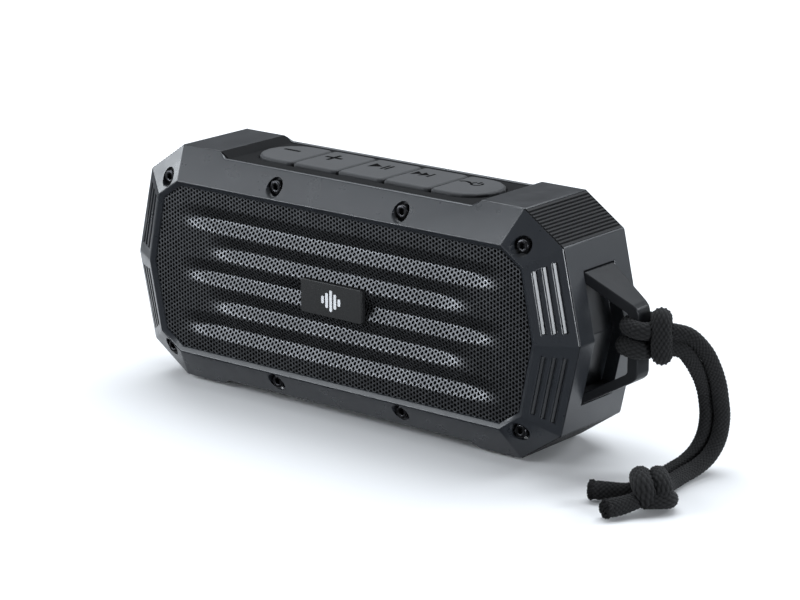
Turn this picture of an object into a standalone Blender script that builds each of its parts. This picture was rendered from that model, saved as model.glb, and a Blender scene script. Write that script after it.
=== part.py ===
"""Rugged portable shower speaker, modelled as the separate pieces that it is assembled from.

Design frame: X runs along the body (+X is the strap loop's end), -Y is the grille side, +Z is up,
and the middle of the body is at zero. A root empty then lifts everything onto the standing plane,
with the part's origin under the middle of its box. Lengths are in millimetres and become metres
through MM.
"""

import math

import bmesh
import bpy
from mathutils import Matrix, Vector

MM = 0.001

# Clearances
GAP = 0.3

# Body: a ten-sided outline in X and Z, carried through the depth
BODY_CORNERS = [(74.3, 42.2), (90.0, 31.5), (97.0, 0.0)]
RIM_CORNERS = [(70.6, 30.9), (79.5, 24.9), (84.5, 0.0)]
CAVITY_CORNERS = [(70.0, 37.4), (86.4, 28.6), (92.5, 0.0)]
SEAM_Y = 16.8
RIM_Y = 24.8
BEVEL_INSET = 1.8
BEVEL_Y = 23.6
LIP_BACK_Y = 23.3
REBATE_Y = 17.85
REBATE_INSET = 3.6
SEAL_WIDTH = 0.9

# Recesses along the top and the bottom, between the shoulders
RECESS_HALF_TOP = 56.8
RECESS_HALF_FLOOR = 53.2
COVER_RECESS_Z = 40.2
HOUSING_RECESS_Z = 39.8

# Grille, cloth, baffle and badge
GRILLE_Y = -23.0
GRILLE_SHEET = 0.5
GROOVE_PITCH = 9.6
GROOVE_HALF_WIDTH = 3.8
GROOVE_DEPTH = 1.8
LONG_GROOVE_HALF = 62.0
SHORT_GROOVE_HALF = 49.0
GROOVE_RUN_OUT = 16.0
BADGE_SIZE = (27.0, 12.0)
BADGE_Y = (-25.4, -23.3)
CLOTH_Y = (-20.4, -20.2)
BAFFLE_Y = (-19.9, -17.4)

# Three slots in each side facet of the two covers
SLOT_RADIUS = 0.9
SLOT_STEPS = (0.26, 0.50, 0.74)
SLOT_START = 0.10
SLOT_END = 0.86

# Cover screws: socket caps along the depth, in counterbores
MID_SCREW = (27.6, 34.6)
CORNER_SCREW = (77.0, 31.0)
HEAD_RADIUS = 2.35
HEAD_HEIGHT = 2.4
SHANK_RADIUS = 1.25
SOCKET_RADIUS = 1.15
SOCKET_DEPTH = 1.3
COUNTERBORE_RADIUS = 3.4
COUNTERBORE_Y = 19.0
BOSS_RADIUS = 4.0
MID_BOSS_Y = -11.9
MID_SCREW_END_Y = -13.2
CORNER_SCREW_END_Y = 8.0

# Keys and what is under them
KEY_PITCH = 20.0
KEY_CENTRE_Y = 1.0
KEY_HALF_Y = 11.7
KEY_HALF_X = 9.7
PAD_HALF_X = 50.8
KEY_CORNER = 2.0
KEY_BASE_Z = 38.1
KEY_SHOULDER_Z = 40.4
KEY_TOP_Z = 41.0
KEY_CROWN = 0.8
STEM_RADIUS = 2.5
STEM_Z = 34.5
MAT_Z = (36.4, 37.1)
BOARD_Z = (29.7, 31.3)
SWITCH_Z = (31.6, 33.6)
SWITCH_HALF = 3.0
BUTTON_BOARD_HALF = (48.0, 10.0)
KEY_NAMES = ["volume_down", "volume_up", "play", "next", "power"]

# Right-hand end: pocket and strap loop
POCKET_HALF_Y = 8.6
POCKET_FLOOR = [(92.0, 0.0), (87.0, 22.5)]
TUB_WALL = 2.5
LOOP_BASE_X = 88.1
LOOP_BEND_X = 92.0
LOOP_HALF_Z = 22.2
LOOP_NOSE_X = 110.0
LOOP_NOSE_HALF_Z = 12.0
LOOP_PLATE = 3.2
LOOP_HALF_Y = (8.3, 3.5)
LOOP_SCREW_Z = 20.6
LOOP_SCREW_RADIUS = 0.8
LOOP_SCREW_X = (83.0, 90.6)
LOOP_HEAD_RADIUS = 1.9
LOOP_HEAD_X = (81.8, 83.8)

# Ribbed grip pads on the cut corners
PAD_THICKNESS = 1.8
PAD_RIBS = 13
PAD_GROOVE = 0.6

# Feet
STAND_Z = -43.2
FOOT_X = (61.5, 69.5)
FOOT_HALF_Y = 14.0
FOOT_SEAT_Z = -41.3

# Drivers
DRIVER_X = 42.0
BAFFLE_HOLE = 21.6
# Radius and distance towards the front, from the cup's floor or the dust cap outwards
BASKET_PROFILE = [
    (0.0, 6.0), (9.5, 6.0), (14.5, 7.5), (22.2, 15.5), (22.2, 17.1), (25.0, 17.1),
    (25.0, 15.4), (22.4, 14.0), (16.0, 4.5), (15.0, 4.0), (15.0, -5.0), (0.0, -5.0),
]
CONE_PROFILE = [
    (0.0, 14.6), (4.5, 14.0), (7.6, 12.2), (8.2, 12.0), (18.2, 17.2), (19.2, 18.2), (20.4, 18.4),
    (21.2, 17.4), (20.2, 17.2), (19.4, 17.0), (8.4, 11.0), (7.4, 8.2), (0.0, 8.2),
]

# Passive radiator behind the slotted rear panel
PANEL_Y = (20.4, 22.6)
GUARD_SLOTS = 5
GUARD_PITCH = 7.0
GUARD_SLOT = (28.0, 1.7)
RADIATOR = (32.0, 19.0)
RADIATOR_Y = (15.0, 17.0)
SURROUND_Y = (17.3, 20.1)

# Port flap and socket on the rear panel
FLAP_X = (-71.0, -45.0)
FLAP_HALF_Z = 6.0
FLAP_Y = (22.9, 24.3)
SOCKET_X = -62.0
JACK_X = -52.0
PORT_HALF = (4.8, 1.9)
PORT_DEPTH_Y = (10.0, 20.1)
SOCKET_HALF = (4.5, 1.6)
SOCKET_WALL = 0.4
JACK_RADIUS = 3.0
JACK_BORE = 1.75

# Electronics
MAIN_BOARD = ((-72.0, 8.0, -20.0), (72.0, 9.6, 20.0))
CELL_CENTRE = (0.0, -4.0)
CELL_HALF = (15.0, 26.0)
CELL_Y = (-15.0, 2.0)

# Lanyard: one doubled braided cord
CORD_RADIUS = 2.8
STRAND_OFFSET = 2.95
HITCH_CENTRE = (117.4, 0.0, 4.0)
HITCH_HALF = (4.2, 5.0, 9.0)
HITCH_WRAP_Z = (-3.6, 9.4)
HITCH_SLACK = 1.6
HITCH_THICKNESS = 5.0
END_KNOT_CENTRE = (133.0, -26.8, -37.0)
END_KNOT_HALF = (8.0, 7.6, 6.1)
LANYARD_RUN = [
    (118.9, 0.1, 4.0), (122.9, 5.3, 1.8), (124.1, 7.9, -1.7), (125.1, 11.6, -6.9),
    (125.3, 15.3, -12.6), (125.0, 18.2, -18.7), (125.4, 19.0, -24.1), (125.8, 18.2, -29.2),
    (125.9, 15.8, -33.8), (125.6, 11.7, -37.4), (125.0, 5.8, -39.7), (124.8, -1.5, -40.4),
    (126.3, -12.2, -40.2), (128.8, -19.9, -39.0),
]
LANYARD_TAILS = {
    "a": [(124.6, -29.0, -39.2), (119.0, -31.8, -40.1), (113.0, -34.1, -40.4)],
    "b": [(131.4, -34.6, -39.2), (129.8, -40.2, -40.3), (127.4, -46.3, -40.4)],
}

# The body's box, which puts the part's origin under its middle
BOX_X = (-97.0, LOOP_NOSE_X)
BOX_Y = (BADGE_Y[0], RIM_Y)


def clear_scene():
    for item in list(bpy.data.objects):
        bpy.data.objects.remove(item, do_unlink=True)


def make_collection(name):
    group = bpy.data.collections.new(name)
    bpy.context.scene.collection.children.link(group)
    return group


def make_material(name, colour, roughness, metallic=0.0):
    finish = bpy.data.materials.new(name)
    finish.use_nodes = True
    shader = finish.node_tree.nodes["Principled BSDF"]
    shader.inputs["Base Color"].default_value = (*colour, 1.0)
    shader.inputs["Roughness"].default_value = roughness
    shader.inputs["Metallic"].default_value = metallic
    finish.diffuse_color = (*colour, 1.0)
    return finish


clear_scene()
PARTS = make_collection("shower_speaker")
CUTTERS = make_collection("cutters")

ROOT = bpy.data.objects.new("speaker_root", None)
ROOT.location = (-sum(BOX_X) / 2 * MM, -sum(BOX_Y) / 2 * MM, -STAND_Z * MM)
PARTS.objects.link(ROOT)

SHELL = make_material("shell_plastic", (0.115, 0.120, 0.130), 0.42)
HOUSING = make_material("housing_plastic", (0.085, 0.090, 0.098), 0.45)
BLACK_RUBBER = make_material("black_rubber", (0.020, 0.020, 0.022), 0.75)
KEY_RUBBER = make_material("key_rubber", (0.110, 0.112, 0.118), 0.60)
MESH_METAL = make_material("grille_steel", (0.030, 0.031, 0.033), 0.45, 0.6)
BADGE_BLACK = make_material("badge_black", (0.012, 0.012, 0.013), 0.35)
SCREW_STEEL = make_material("black_oxide_steel", (0.035, 0.035, 0.038), 0.32, 0.9)
CLOTH = make_material("grille_cloth", (0.008, 0.008, 0.008), 0.95)
INNER_PLASTIC = make_material("inner_plastic", (0.030, 0.030, 0.030), 0.60)
CONE_PAPER = make_material("cone", (0.025, 0.025, 0.025), 0.80)
MAGNET_STEEL = make_material("driver_steel", (0.30, 0.30, 0.31), 0.40, 0.9)
BOARD_GREEN = make_material("circuit_board", (0.020, 0.120, 0.050), 0.50)
SOCKET_STEEL = make_material("socket_steel", (0.55, 0.55, 0.56), 0.30, 1.0)
CELL_WRAP = make_material("cell_wrap", (0.050, 0.140, 0.320), 0.45)
CORD_BRAID = make_material("cord_braid", (0.022, 0.022, 0.024), 0.90)


# Outlines, as lists of (across, up) points

def mirrored(corners):
    """Full ten-sided outline from its upper right quarter."""
    top, side, tip = corners
    right = [(top[0], -top[1]), (side[0], -side[1]), tip, side, top]
    return right + [(-x, z) for x, z in reversed(right)]


def inset(outline, distance):
    """Outline moved inwards by a distance, with mitred corners."""
    moved = []
    count = len(outline)
    for index in range(count):
        before, here, after = (Vector(outline[(index + step) % count]) for step in (-1, 0, 1))
        first = (here - before).normalized()
        second = (after - here).normalized()
        normal_a = Vector((-first.y, first.x))
        normal_b = Vector((-second.y, second.x))
        mitre = (normal_a + normal_b).normalized()
        moved.append(tuple(here + mitre * distance / mitre.dot(normal_a)))
    return moved


def arc(centre, radius, start, end, steps):
    """Points on an arc, its angles in degrees."""
    points = []
    for step in range(steps + 1):
        angle = math.radians(start + (end - start) * step / steps)
        points.append((centre[0] + radius * math.cos(angle), centre[1] + radius * math.sin(angle)))
    return points


def circle(centre, radius, steps):
    return arc(centre, radius, 0, 360, steps)[:-1]


def rounded_box(centre, half, radii, steps=3):
    """Rectangle with its own radius at each corner: right top, left top, left bottom, right bottom."""
    signs = [(1, 1), (-1, 1), (-1, -1), (1, -1)]
    points = []
    for index, ((sx, sy), radius) in enumerate(zip(signs, radii)):
        corner = (centre[0] + sx * (half[0] - radius), centre[1] + sy * (half[1] - radius))
        points += arc(corner, radius, 90 * index, 90 * index + 90, steps)
    return points


def pill(centre, half_length, half_width, steps=6):
    right = arc((centre[0] + half_length - half_width, centre[1]), half_width, -90, 90, steps)
    left = arc((centre[0] - half_length + half_width, centre[1]), half_width, 90, 270, steps)
    return right + left


# Solids

TURN_TO = {
    "Y": Matrix.Rotation(math.radians(90), 4, "X"),
    "Z": Matrix.Identity(4),
}


def add_object(name, data, finish=None, group=None):
    item = bpy.data.objects.new(name, data)
    (group or PARTS).objects.link(item)
    item.parent = ROOT
    if finish:
        data.materials.clear()
        data.materials.append(finish)
    return item


def make_cutter(name, mesh):
    item = add_object(name, mesh, group=CUTTERS)
    item.hide_render = True
    item.display_type = "WIRE"
    return item


def finish_mesh(form, name):
    """Weld a bmesh, point its faces outwards and store it."""
    bmesh.ops.remove_doubles(form, verts=form.verts, dist=1e-6)
    bmesh.ops.recalc_face_normals(form, faces=form.faces)
    mesh = bpy.data.meshes.new(name)
    form.to_mesh(mesh)
    form.free()
    return mesh


def flat_mesh(name, outlines, low, high, axis="Y"):
    """Extrude outlines (the outer one first, then its holes) from low to high along Y or Z."""
    curve = bpy.data.curves.new(name, "CURVE")
    curve.dimensions = "2D"
    curve.fill_mode = "BOTH"
    curve.extrude = (high - low) / 2 * MM
    for outline in outlines:
        spline = curve.splines.new("POLY")
        spline.points.add(len(outline) - 1)
        for point, (across, up) in zip(spline.points, outline):
            point.co = (across * MM, up * MM, 0.0, 1.0)
        spline.use_cyclic_u = True
    holder = bpy.data.objects.new(name, curve)
    CUTTERS.objects.link(holder)
    bpy.context.view_layer.update()
    graph = bpy.context.evaluated_depsgraph_get()
    flat = bpy.data.meshes.new_from_object(holder.evaluated_get(graph))
    bpy.data.objects.remove(holder, do_unlink=True)
    level = (low + high) / 2 * MM
    shift = Vector((0.0, level, 0.0)) if axis == "Y" else Vector((0.0, 0.0, level))
    flat.transform(Matrix.Translation(shift) @ TURN_TO[axis])
    form = bmesh.new()
    form.from_mesh(flat)
    bpy.data.meshes.remove(flat)
    return finish_mesh(form, name)


def loft_mesh(name, sections, ring):
    """Join equal outlines in X and Z, each at its own Y, into a ring or a capped solid."""
    form = bmesh.new()
    loops = []
    for outline, y in sections:
        loops.append([form.verts.new((x * MM, y * MM, z * MM)) for x, z in outline])
    pairs = list(zip(loops, loops[1:]))
    if ring:
        pairs.append((loops[-1], loops[0]))
    for near, far in pairs:
        for index in range(len(near)):
            after = (index + 1) % len(near)
            form.faces.new((near[index], near[after], far[after], far[index]))
    if not ring:
        form.faces.new(loops[0])
        form.faces.new(loops[-1])
    return finish_mesh(form, name)


def rods_mesh(name, rods, sides=16):
    """Cylinders that don't touch, each given as (start, end, radius)."""
    form = bmesh.new()
    for start, end, radius in rods:
        start, end = Vector(start), Vector(end)
        turn = (end - start).to_track_quat("Z", "Y").to_matrix().to_4x4()
        place = Matrix.Translation((start + end) / 2 * MM) @ turn
        bmesh.ops.create_cone(
            form, cap_ends=True, segments=sides, radius1=radius * MM, radius2=radius * MM,
            depth=(end - start).length * MM, matrix=place)
    return finish_mesh(form, name)


def boxes_mesh(name, boxes):
    """Boxes that don't touch, each given as (low corner, high corner)."""
    form = bmesh.new()
    for low, high in boxes:
        low, high = Vector(low), Vector(high)
        size = (high - low) * MM
        place = Matrix.Translation((low + high) / 2 * MM) @ Matrix.Diagonal((*size, 1.0))
        bmesh.ops.create_cube(form, size=1.0, matrix=place)
    return finish_mesh(form, name)


def ball_mesh(name, centre, half, rows=10, columns=14):
    form = bmesh.new()
    place = Matrix.Translation(Vector(centre) * MM) @ Matrix.Diagonal((*(Vector(half) * MM), 1.0))
    bmesh.ops.create_uvsphere(form, u_segments=columns, v_segments=rows, radius=1.0, matrix=place)
    return finish_mesh(form, name)


def turned(name, profile, finish, centre, sides, away_from_front=True):
    """Turn a profile of (radius, depth) points, top first, about an axis along Y."""
    mesh = bpy.data.meshes.new(name)
    points = [(radius * MM, 0.0, height * MM) for radius, height in profile]
    mesh.from_pydata(points, [(i, i + 1) for i in range(len(points) - 1)], [])
    item = add_object(name, mesh, finish)
    item.location = Vector(centre) * MM
    item.rotation_euler = (math.radians(90 if away_from_front else -90), 0.0, 0.0)
    spin = item.modifiers.new("turn", "SCREW")
    spin.steps = sides
    spin.render_steps = sides
    spin.use_merge_vertices = True
    spin.merge_threshold = 1e-6
    mesh.shade_smooth()
    return item


def boolean(item, cutter, operation="DIFFERENCE"):
    change = item.modifiers.new(cutter.name, "BOOLEAN")
    change.operation = operation
    change.solver = "EXACT"
    change.object = cutter


def set_origin(item, point):
    """Move a piece's origin to a point without moving its shape."""
    place = Vector(point) * MM
    item.data.transform(Matrix.Translation(-place))
    item.location = place


# Cutters that several pieces share

BODY = mirrored(BODY_CORNERS)
RIM = mirrored(RIM_CORNERS)
WINDOW = inset(RIM, BEVEL_INSET)
CAVITY = mirrored(CAVITY_CORNERS)
REBATE = inset(BODY, REBATE_INSET)
FOUR_SIGNS = [(sx, sz) for sz in (1, -1) for sx in (-1, 1)]
FRONT_SCREWS = [(sx * MID_SCREW[0], sz * MID_SCREW[1]) for sx, sz in FOUR_SIGNS]
CORNER_SCREWS = [(sx * CORNER_SCREW[0], sz * CORNER_SCREW[1]) for sx, sz in FOUR_SIGNS]


def recess_cutter(name, floor_z):
    """Two long troughs with sloped ends, above and below the body."""
    outer_z = BODY_CORNERS[0][1] + 4.0
    slope = (RECESS_HALF_TOP - RECESS_HALF_FLOOR) / (BODY_CORNERS[0][1] - HOUSING_RECESS_Z)
    half_floor = RECESS_HALF_TOP - slope * (BODY_CORNERS[0][1] - floor_z)
    half_outer = RECESS_HALF_TOP + slope * 4.0
    form = bmesh.new()
    for side in (1, -1):
        outline = [(half_floor, side * floor_z), (half_outer, side * outer_z),
                   (-half_outer, side * outer_z), (-half_floor, side * floor_z)]
        form.from_mesh(flat_mesh(name, [outline], -RIM_Y - 4, RIM_Y + 4))
    return make_cutter(name, finish_mesh(form, name))


def screw_cutters(name, places, side, depth_y):
    """Counterbores and clearance holes for screws on the front (side -1) or the rear (side 1)."""
    bores = [((x, side * (RIM_Y + 3), z), (x, side * COUNTERBORE_Y, z), COUNTERBORE_RADIUS)
             for x, z in places]
    holes = [((x, side * (COUNTERBORE_Y + 1), z), (x, side * depth_y, z), SHANK_RADIUS + GAP)
             for x, z in places]
    return (make_cutter(name + "_bores", rods_mesh(name + "_bores", bores)),
            make_cutter(name + "_holes", rods_mesh(name + "_holes", holes, 10)))


def slot_cutter(name, side):
    """Round-bottomed slots along the side facets of a cover, parallel to its outer edge."""
    rods = []
    for sx, sz in FOUR_SIGNS:
        outer_a, outer_b = (Vector((x * sx, side * SEAM_Y, z * sz)) for x, z in BODY_CORNERS[1:])
        inner_a, inner_b = (Vector((x * sx, side * RIM_Y, z * sz)) for x, z in RIM_CORNERS[1:])
        for step in SLOT_STEPS:
            high = outer_a.lerp(inner_a, step)
            low = outer_b.lerp(inner_b, step)
            rods.append((high.lerp(low, SLOT_START), high.lerp(low, SLOT_END), SLOT_RADIUS))
    return make_cutter(name, rods_mesh(name, rods, 8))


# Front assembly

def make_front_frame():
    sections = [
        (BODY, -SEAM_Y - GAP / 2), (RIM, -RIM_Y), (WINDOW, -BEVEL_Y), (WINDOW, -LIP_BACK_Y),
        (RIM, -LIP_BACK_Y), (RIM, -REBATE_Y), (REBATE, -REBATE_Y), (REBATE, -SEAM_Y - GAP / 2),
    ]
    frame = add_object("front_frame", loft_mesh("front_frame", sections, ring=True), SHELL)
    boolean(frame, recess_cutter("front_recess", COVER_RECESS_Z))
    bores, holes = screw_cutters("front_screw", FRONT_SCREWS + CORNER_SCREWS, -1, 15.0)
    boolean(frame, bores)
    boolean(frame, holes)
    boolean(frame, slot_cutter("front_slots", -1))


def groove_depth(x, z):
    """How far the grille sheet is pressed in at a point."""
    depth = 0.0
    for index in range(-2, 3):
        half = LONG_GROOVE_HALF if index % 2 == 0 else SHORT_GROOVE_HALF
        across = 1.0 - abs(z - index * GROOVE_PITCH) / GROOVE_HALF_WIDTH
        along = min(1.0, (half - abs(x)) / GROOVE_RUN_OUT)
        depth = max(depth, GROOVE_DEPTH * max(0.0, across) * max(0.0, along))
    return depth


def make_grille():
    stations_x = [-88.0, 88.0, 0.0]
    for half in (LONG_GROOVE_HALF, SHORT_GROOVE_HALF):
        stations_x += [half, -half, half - GROOVE_RUN_OUT, GROOVE_RUN_OUT - half]
    stations_z = [-34.0, 34.0]
    for index in range(-2, 3):
        centre = index * GROOVE_PITCH
        stations_z += [centre - GROOVE_HALF_WIDTH, centre, centre + GROOVE_HALF_WIDTH]
    form = bmesh.new()
    rows = []
    for x in sorted(stations_x):
        rows.append([form.verts.new((x * MM, (GRILLE_Y + groove_depth(x, z)) * MM, z * MM))
                     for z in sorted(stations_z)])
    for near, far in zip(rows, rows[1:]):
        for index in range(len(near) - 1):
            form.faces.new((near[index], far[index], far[index + 1], near[index + 1]))
    mesh = bpy.data.meshes.new("grille")
    form.to_mesh(mesh)
    form.free()
    grille = add_object("grille", mesh, MESH_METAL)
    sheet = grille.modifiers.new("sheet", "SOLIDIFY")
    sheet.thickness = GRILLE_SHEET * MM
    sheet.offset = -1.0
    outline = make_cutter("grille_outline",
                          flat_mesh("grille_outline", [inset(RIM, GAP)], -27.0, -18.0))
    boolean(grille, outline, "INTERSECT")


def make_front_fillings():
    half_x, half_z = BADGE_SIZE[0] / 2, BADGE_SIZE[1] / 2
    plate = rounded_box((0, 0), (half_x, half_z), [0.8] * 4, 2)
    add_object("badge", flat_mesh("badge", [plate], *BADGE_Y), BADGE_BLACK)
    inner = inset(RIM, 2 * GAP)
    add_object("grille_cloth", flat_mesh("grille_cloth", [inner], *CLOTH_Y), CLOTH)
    holes = [circle((side * DRIVER_X, 0), BAFFLE_HOLE, 24) for side in (-1, 1)]
    add_object("baffle", flat_mesh("baffle", [inner] + holes, *BAFFLE_Y), INNER_PLASTIC)


def make_seal(name, side):
    """Flat gasket in the rebate between a cover and the housing."""
    outer = inset(BODY, REBATE_INSET + GAP)
    inner = inset(outer, SEAL_WIDTH)
    near, far = sorted((side * (SEAM_Y + GAP / 2), side * (REBATE_Y - GAP)))
    add_object(name, flat_mesh(name, [outer, inner], near, far), BLACK_RUBBER)


def screw(name, place, head_y, length, side):
    """Socket cap screw whose head bears at head_y, on the front (side -1) or the rear (side 1)."""
    profile = [
        (0.0, HEAD_HEIGHT - SOCKET_DEPTH), (SOCKET_RADIUS, HEAD_HEIGHT - SOCKET_DEPTH),
        (SOCKET_RADIUS, HEAD_HEIGHT), (HEAD_RADIUS, HEAD_HEIGHT), (HEAD_RADIUS, 0.0),
        (SHANK_RADIUS, 0.0), (SHANK_RADIUS, -length), (0.0, -length),
    ]
    centre = (place[0], head_y, place[1])
    turned(name, profile, SCREW_STEEL, centre, 10, away_from_front=side < 0)


def make_cover_screws():
    head = COUNTERBORE_Y + GAP
    for index, place in enumerate(FRONT_SCREWS):
        screw(f"front_screw_{index + 1}", place, -head, head + MID_SCREW_END_Y, -1)
    for index, place in enumerate(CORNER_SCREWS):
        screw(f"front_screw_{index + 5}", place, -head, head - CORNER_SCREW_END_Y, -1)
        screw(f"rear_screw_{index + 1}", place, head, head - CORNER_SCREW_END_Y, 1)


# Middle housing

def make_cavity_cutter():
    """The hollow of the housing, less the pocket's tub and the screw bosses, which stay solid."""
    cavity = make_cutter("cavity", flat_mesh("cavity", [CAVITY], -SEAM_Y - 2, SEAM_Y + 2))
    tip, foot = POCKET_FLOOR
    tub = [(tip[0] - TUB_WALL, 0.0), (foot[0] - TUB_WALL, foot[1] + TUB_WALL),
           (110.0, foot[1] + TUB_WALL), (110.0, -foot[1] - TUB_WALL),
           (foot[0] - TUB_WALL, -foot[1] - TUB_WALL)]
    half = POCKET_HALF_Y + TUB_WALL
    boolean(cavity, make_cutter("tub_guide", flat_mesh("tub_guide", [tub], -half, half)))
    short = [((x, -SEAM_Y - 3, z), (x, MID_BOSS_Y, z), BOSS_RADIUS) for x, z in FRONT_SCREWS]
    through = [((x, -SEAM_Y - 3, z), (x, SEAM_Y + 3, z), BOSS_RADIUS) for x, z in CORNER_SCREWS]
    boolean(cavity, make_cutter("boss_guides", rods_mesh("boss_guides", short + through)))
    return cavity


def pocket_cutter():
    tip, foot = POCKET_FLOOR
    outline = [tip, foot, (foot[0] + 20, foot[1]), (foot[0] + 20, -foot[1]), (foot[0], -foot[1])]
    return make_cutter("pocket", flat_mesh("pocket", [outline], -POCKET_HALF_Y, POCKET_HALF_Y))


def key_field(gap):
    """Outline of the whole row of keys, grown by a gap."""
    half = (PAD_HALF_X + gap, KEY_HALF_Y + gap)
    return rounded_box((0.0, KEY_CENTRE_Y), half, [half[1]] * 4, 5)


def pad_seats():
    """Shallow seats for the four grip pads, open to the cut corners and the seams."""
    form = bmesh.new()
    for sx, sz in FOUR_SIGNS:
        top, side = (Vector(corner) for corner in BODY_CORNERS[:2])
        along = (side - top).normalized()
        out = Vector((-along.y, along.x))
        start, end = top + along * GAP, side - along * GAP
        depth = -out * (PAD_THICKNESS + GAP)
        outline = [start + out * 3, end + out * 3, end + depth, start + depth]
        outline = [(point.x * sx, point.y * sz) for point in outline]
        form.from_mesh(flat_mesh("pad_seats", [outline], -SEAM_Y - 2, SEAM_Y + 2))
    return make_cutter("pad_seats", finish_mesh(form, "pad_seats"))


def make_middle_housing():
    edge = SEAM_Y - GAP / 2
    housing = add_object("middle_housing", flat_mesh("middle_housing", [BODY], -edge, edge), HOUSING)
    boolean(housing, make_cavity_cutter())
    boolean(housing, recess_cutter("housing_recess", HOUSING_RECESS_Z))
    boolean(housing, pocket_cutter())
    boolean(housing, pad_seats())
    field = flat_mesh("key_opening", [key_field(GAP)], 30.0, 45.0, axis="Z")
    boolean(housing, make_cutter("key_opening", field))
    seat_half = (FOOT_X[1] - FOOT_X[0]) / 2 + GAP
    seats = boxes_mesh("foot_seats", [
        ((sx * sum(FOOT_X) / 2 - seat_half, -FOOT_HALF_Y - GAP, STAND_Z - 5),
         (sx * sum(FOOT_X) / 2 + seat_half, FOOT_HALF_Y + GAP, FOOT_SEAT_Z)) for sx in (-1, 1)])
    boolean(housing, make_cutter("foot_seats", seats))
    holes = [((x, -SEAM_Y - 1, z), (x, MID_SCREW_END_Y + 0.5, z), SHANK_RADIUS + GAP)
             for x, z in FRONT_SCREWS]
    for side in (-1, 1):
        holes += [((x, side * (SEAM_Y + 1), z), (x, side * (CORNER_SCREW_END_Y - 0.5), z),
                   SHANK_RADIUS + GAP) for x, z in CORNER_SCREWS]
    holes += [((80.0, 0.0, side * LOOP_SCREW_Z), (90.0, 0.0, side * LOOP_SCREW_Z),
               LOOP_SCREW_RADIUS + GAP) for side in (-1, 1)]
    boolean(housing, make_cutter("housing_holes", rods_mesh("housing_holes", holes, 10)))


def make_grip_pads():
    """Ribbed strips whose grooves run along the depth of the body."""
    edge = SEAM_Y - GAP / 2
    for sx, sz in FOUR_SIGNS:
        top, side = (Vector(corner) for corner in BODY_CORNERS[:2])
        along = (side - top).normalized()
        out = Vector((-along.y, along.x))
        length = (side - top).length - 4 * GAP
        pitch = length / PAD_RIBS
        start = top + along * 2 * GAP
        profile = [start - out * PAD_THICKNESS]
        for rib in range(PAD_RIBS):
            first, last = rib == 0, rib == PAD_RIBS - 1
            left = start + along * (rib * pitch + (0.0 if first else PAD_GROOVE / 2))
            right = start + along * ((rib + 1) * pitch - (0.0 if last else PAD_GROOVE / 2))
            if not first:
                profile.append(left - out * PAD_GROOVE)
            profile += [left, right]
            if not last:
                profile.append(right - out * PAD_GROOVE)
        profile.append(start + along * length - out * PAD_THICKNESS)
        outline = [(point.x * sx, point.y * sz) for point in profile]
        name = f"grip_pad_{'upper' if sz > 0 else 'lower'}_{'right' if sx > 0 else 'left'}"
        add_object(name, flat_mesh(name, [outline], -edge, edge), BLACK_RUBBER)


def make_feet():
    for name, side in (("foot_left", -1), ("foot_right", 1)):
        centre = (side * sum(FOOT_X) / 2, 0.0)
        outline = rounded_box(centre, ((FOOT_X[1] - FOOT_X[0]) / 2, FOOT_HALF_Y), [1.5] * 4, 2)
        mesh = flat_mesh(name, [outline], STAND_Z, FOOT_SEAT_Z - GAP, axis="Z")
        add_object(name, mesh, BLACK_RUBBER)


# Keys

def key_outline(index, grow=0.0):
    """Outline of one key, whose outer end is round on the first and the last."""
    low, high = -KEY_HALF_X, KEY_HALF_X
    radii = [KEY_CORNER] * 4
    if index == 0:
        low, radii = -(PAD_HALF_X - 2 * KEY_PITCH), [KEY_CORNER, KEY_HALF_Y, KEY_HALF_Y, KEY_CORNER]
    if index == 4:
        high, radii = PAD_HALF_X - 2 * KEY_PITCH, [KEY_HALF_Y, KEY_CORNER, KEY_CORNER, KEY_HALF_Y]
    radii = [radius + grow for radius in radii]
    centre = (key_x(index) + (low + high) / 2, KEY_CENTRE_Y)
    return rounded_box(centre, ((high - low) / 2 + grow, KEY_HALF_Y + grow), radii, 4)


def key_x(index):
    return (index - 2) * KEY_PITCH


def make_keys():
    """Five caps on round stems; each slides down onto its switch."""
    for index, name in enumerate(KEY_NAMES):
        form = bmesh.new()
        loops = []
        for grow, z in ((0.0, KEY_BASE_Z), (0.0, KEY_SHOULDER_Z), (-KEY_CROWN, KEY_TOP_Z)):
            loops.append([form.verts.new((x * MM, y * MM, z * MM)) for x, y in key_outline(index, grow)])
        for near, far in zip(loops, loops[1:]):
            for here in range(len(near)):
                after = (here + 1) % len(near)
                form.faces.new((near[here], near[after], far[after], far[here]))
        form.faces.new(loops[0])
        form.faces.new(loops[-1])
        key = add_object("key_" + name, finish_mesh(form, "key_" + name), KEY_RUBBER)
        x, y = key_x(index), KEY_CENTRE_Y
        stem = rods_mesh("stem_" + name, [((x, y, STEM_Z), (x, y, KEY_BASE_Z + 1), STEM_RADIUS)], 12)
        boolean(key, make_cutter("stem_" + name, stem), "UNION")
        set_origin(key, (x, y, KEY_BASE_Z))
        low = (x - SWITCH_HALF, y - SWITCH_HALF, SWITCH_Z[0])
        high = (x + SWITCH_HALF, y + SWITCH_HALF, SWITCH_Z[1])
        add_object("switch_" + name, boxes_mesh("switch_" + name, [(low, high)]), INNER_PLASTIC)


def make_key_mat_and_board():
    holes = [circle((key_x(index), KEY_CENTRE_Y), STEM_RADIUS + 2 * GAP, 12) for index in range(5)]
    mat = flat_mesh("key_mat", [key_field(1.2)] + holes, *MAT_Z, axis="Z")
    add_object("key_mat", mat, BLACK_RUBBER)
    board = rounded_box((0.0, KEY_CENTRE_Y), BUTTON_BOARD_HALF, [1.0] * 4, 1)
    add_object("button_board", flat_mesh("button_board", [board], *BOARD_Z, axis="Z"), BOARD_GREEN)


# Strap loop

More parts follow.
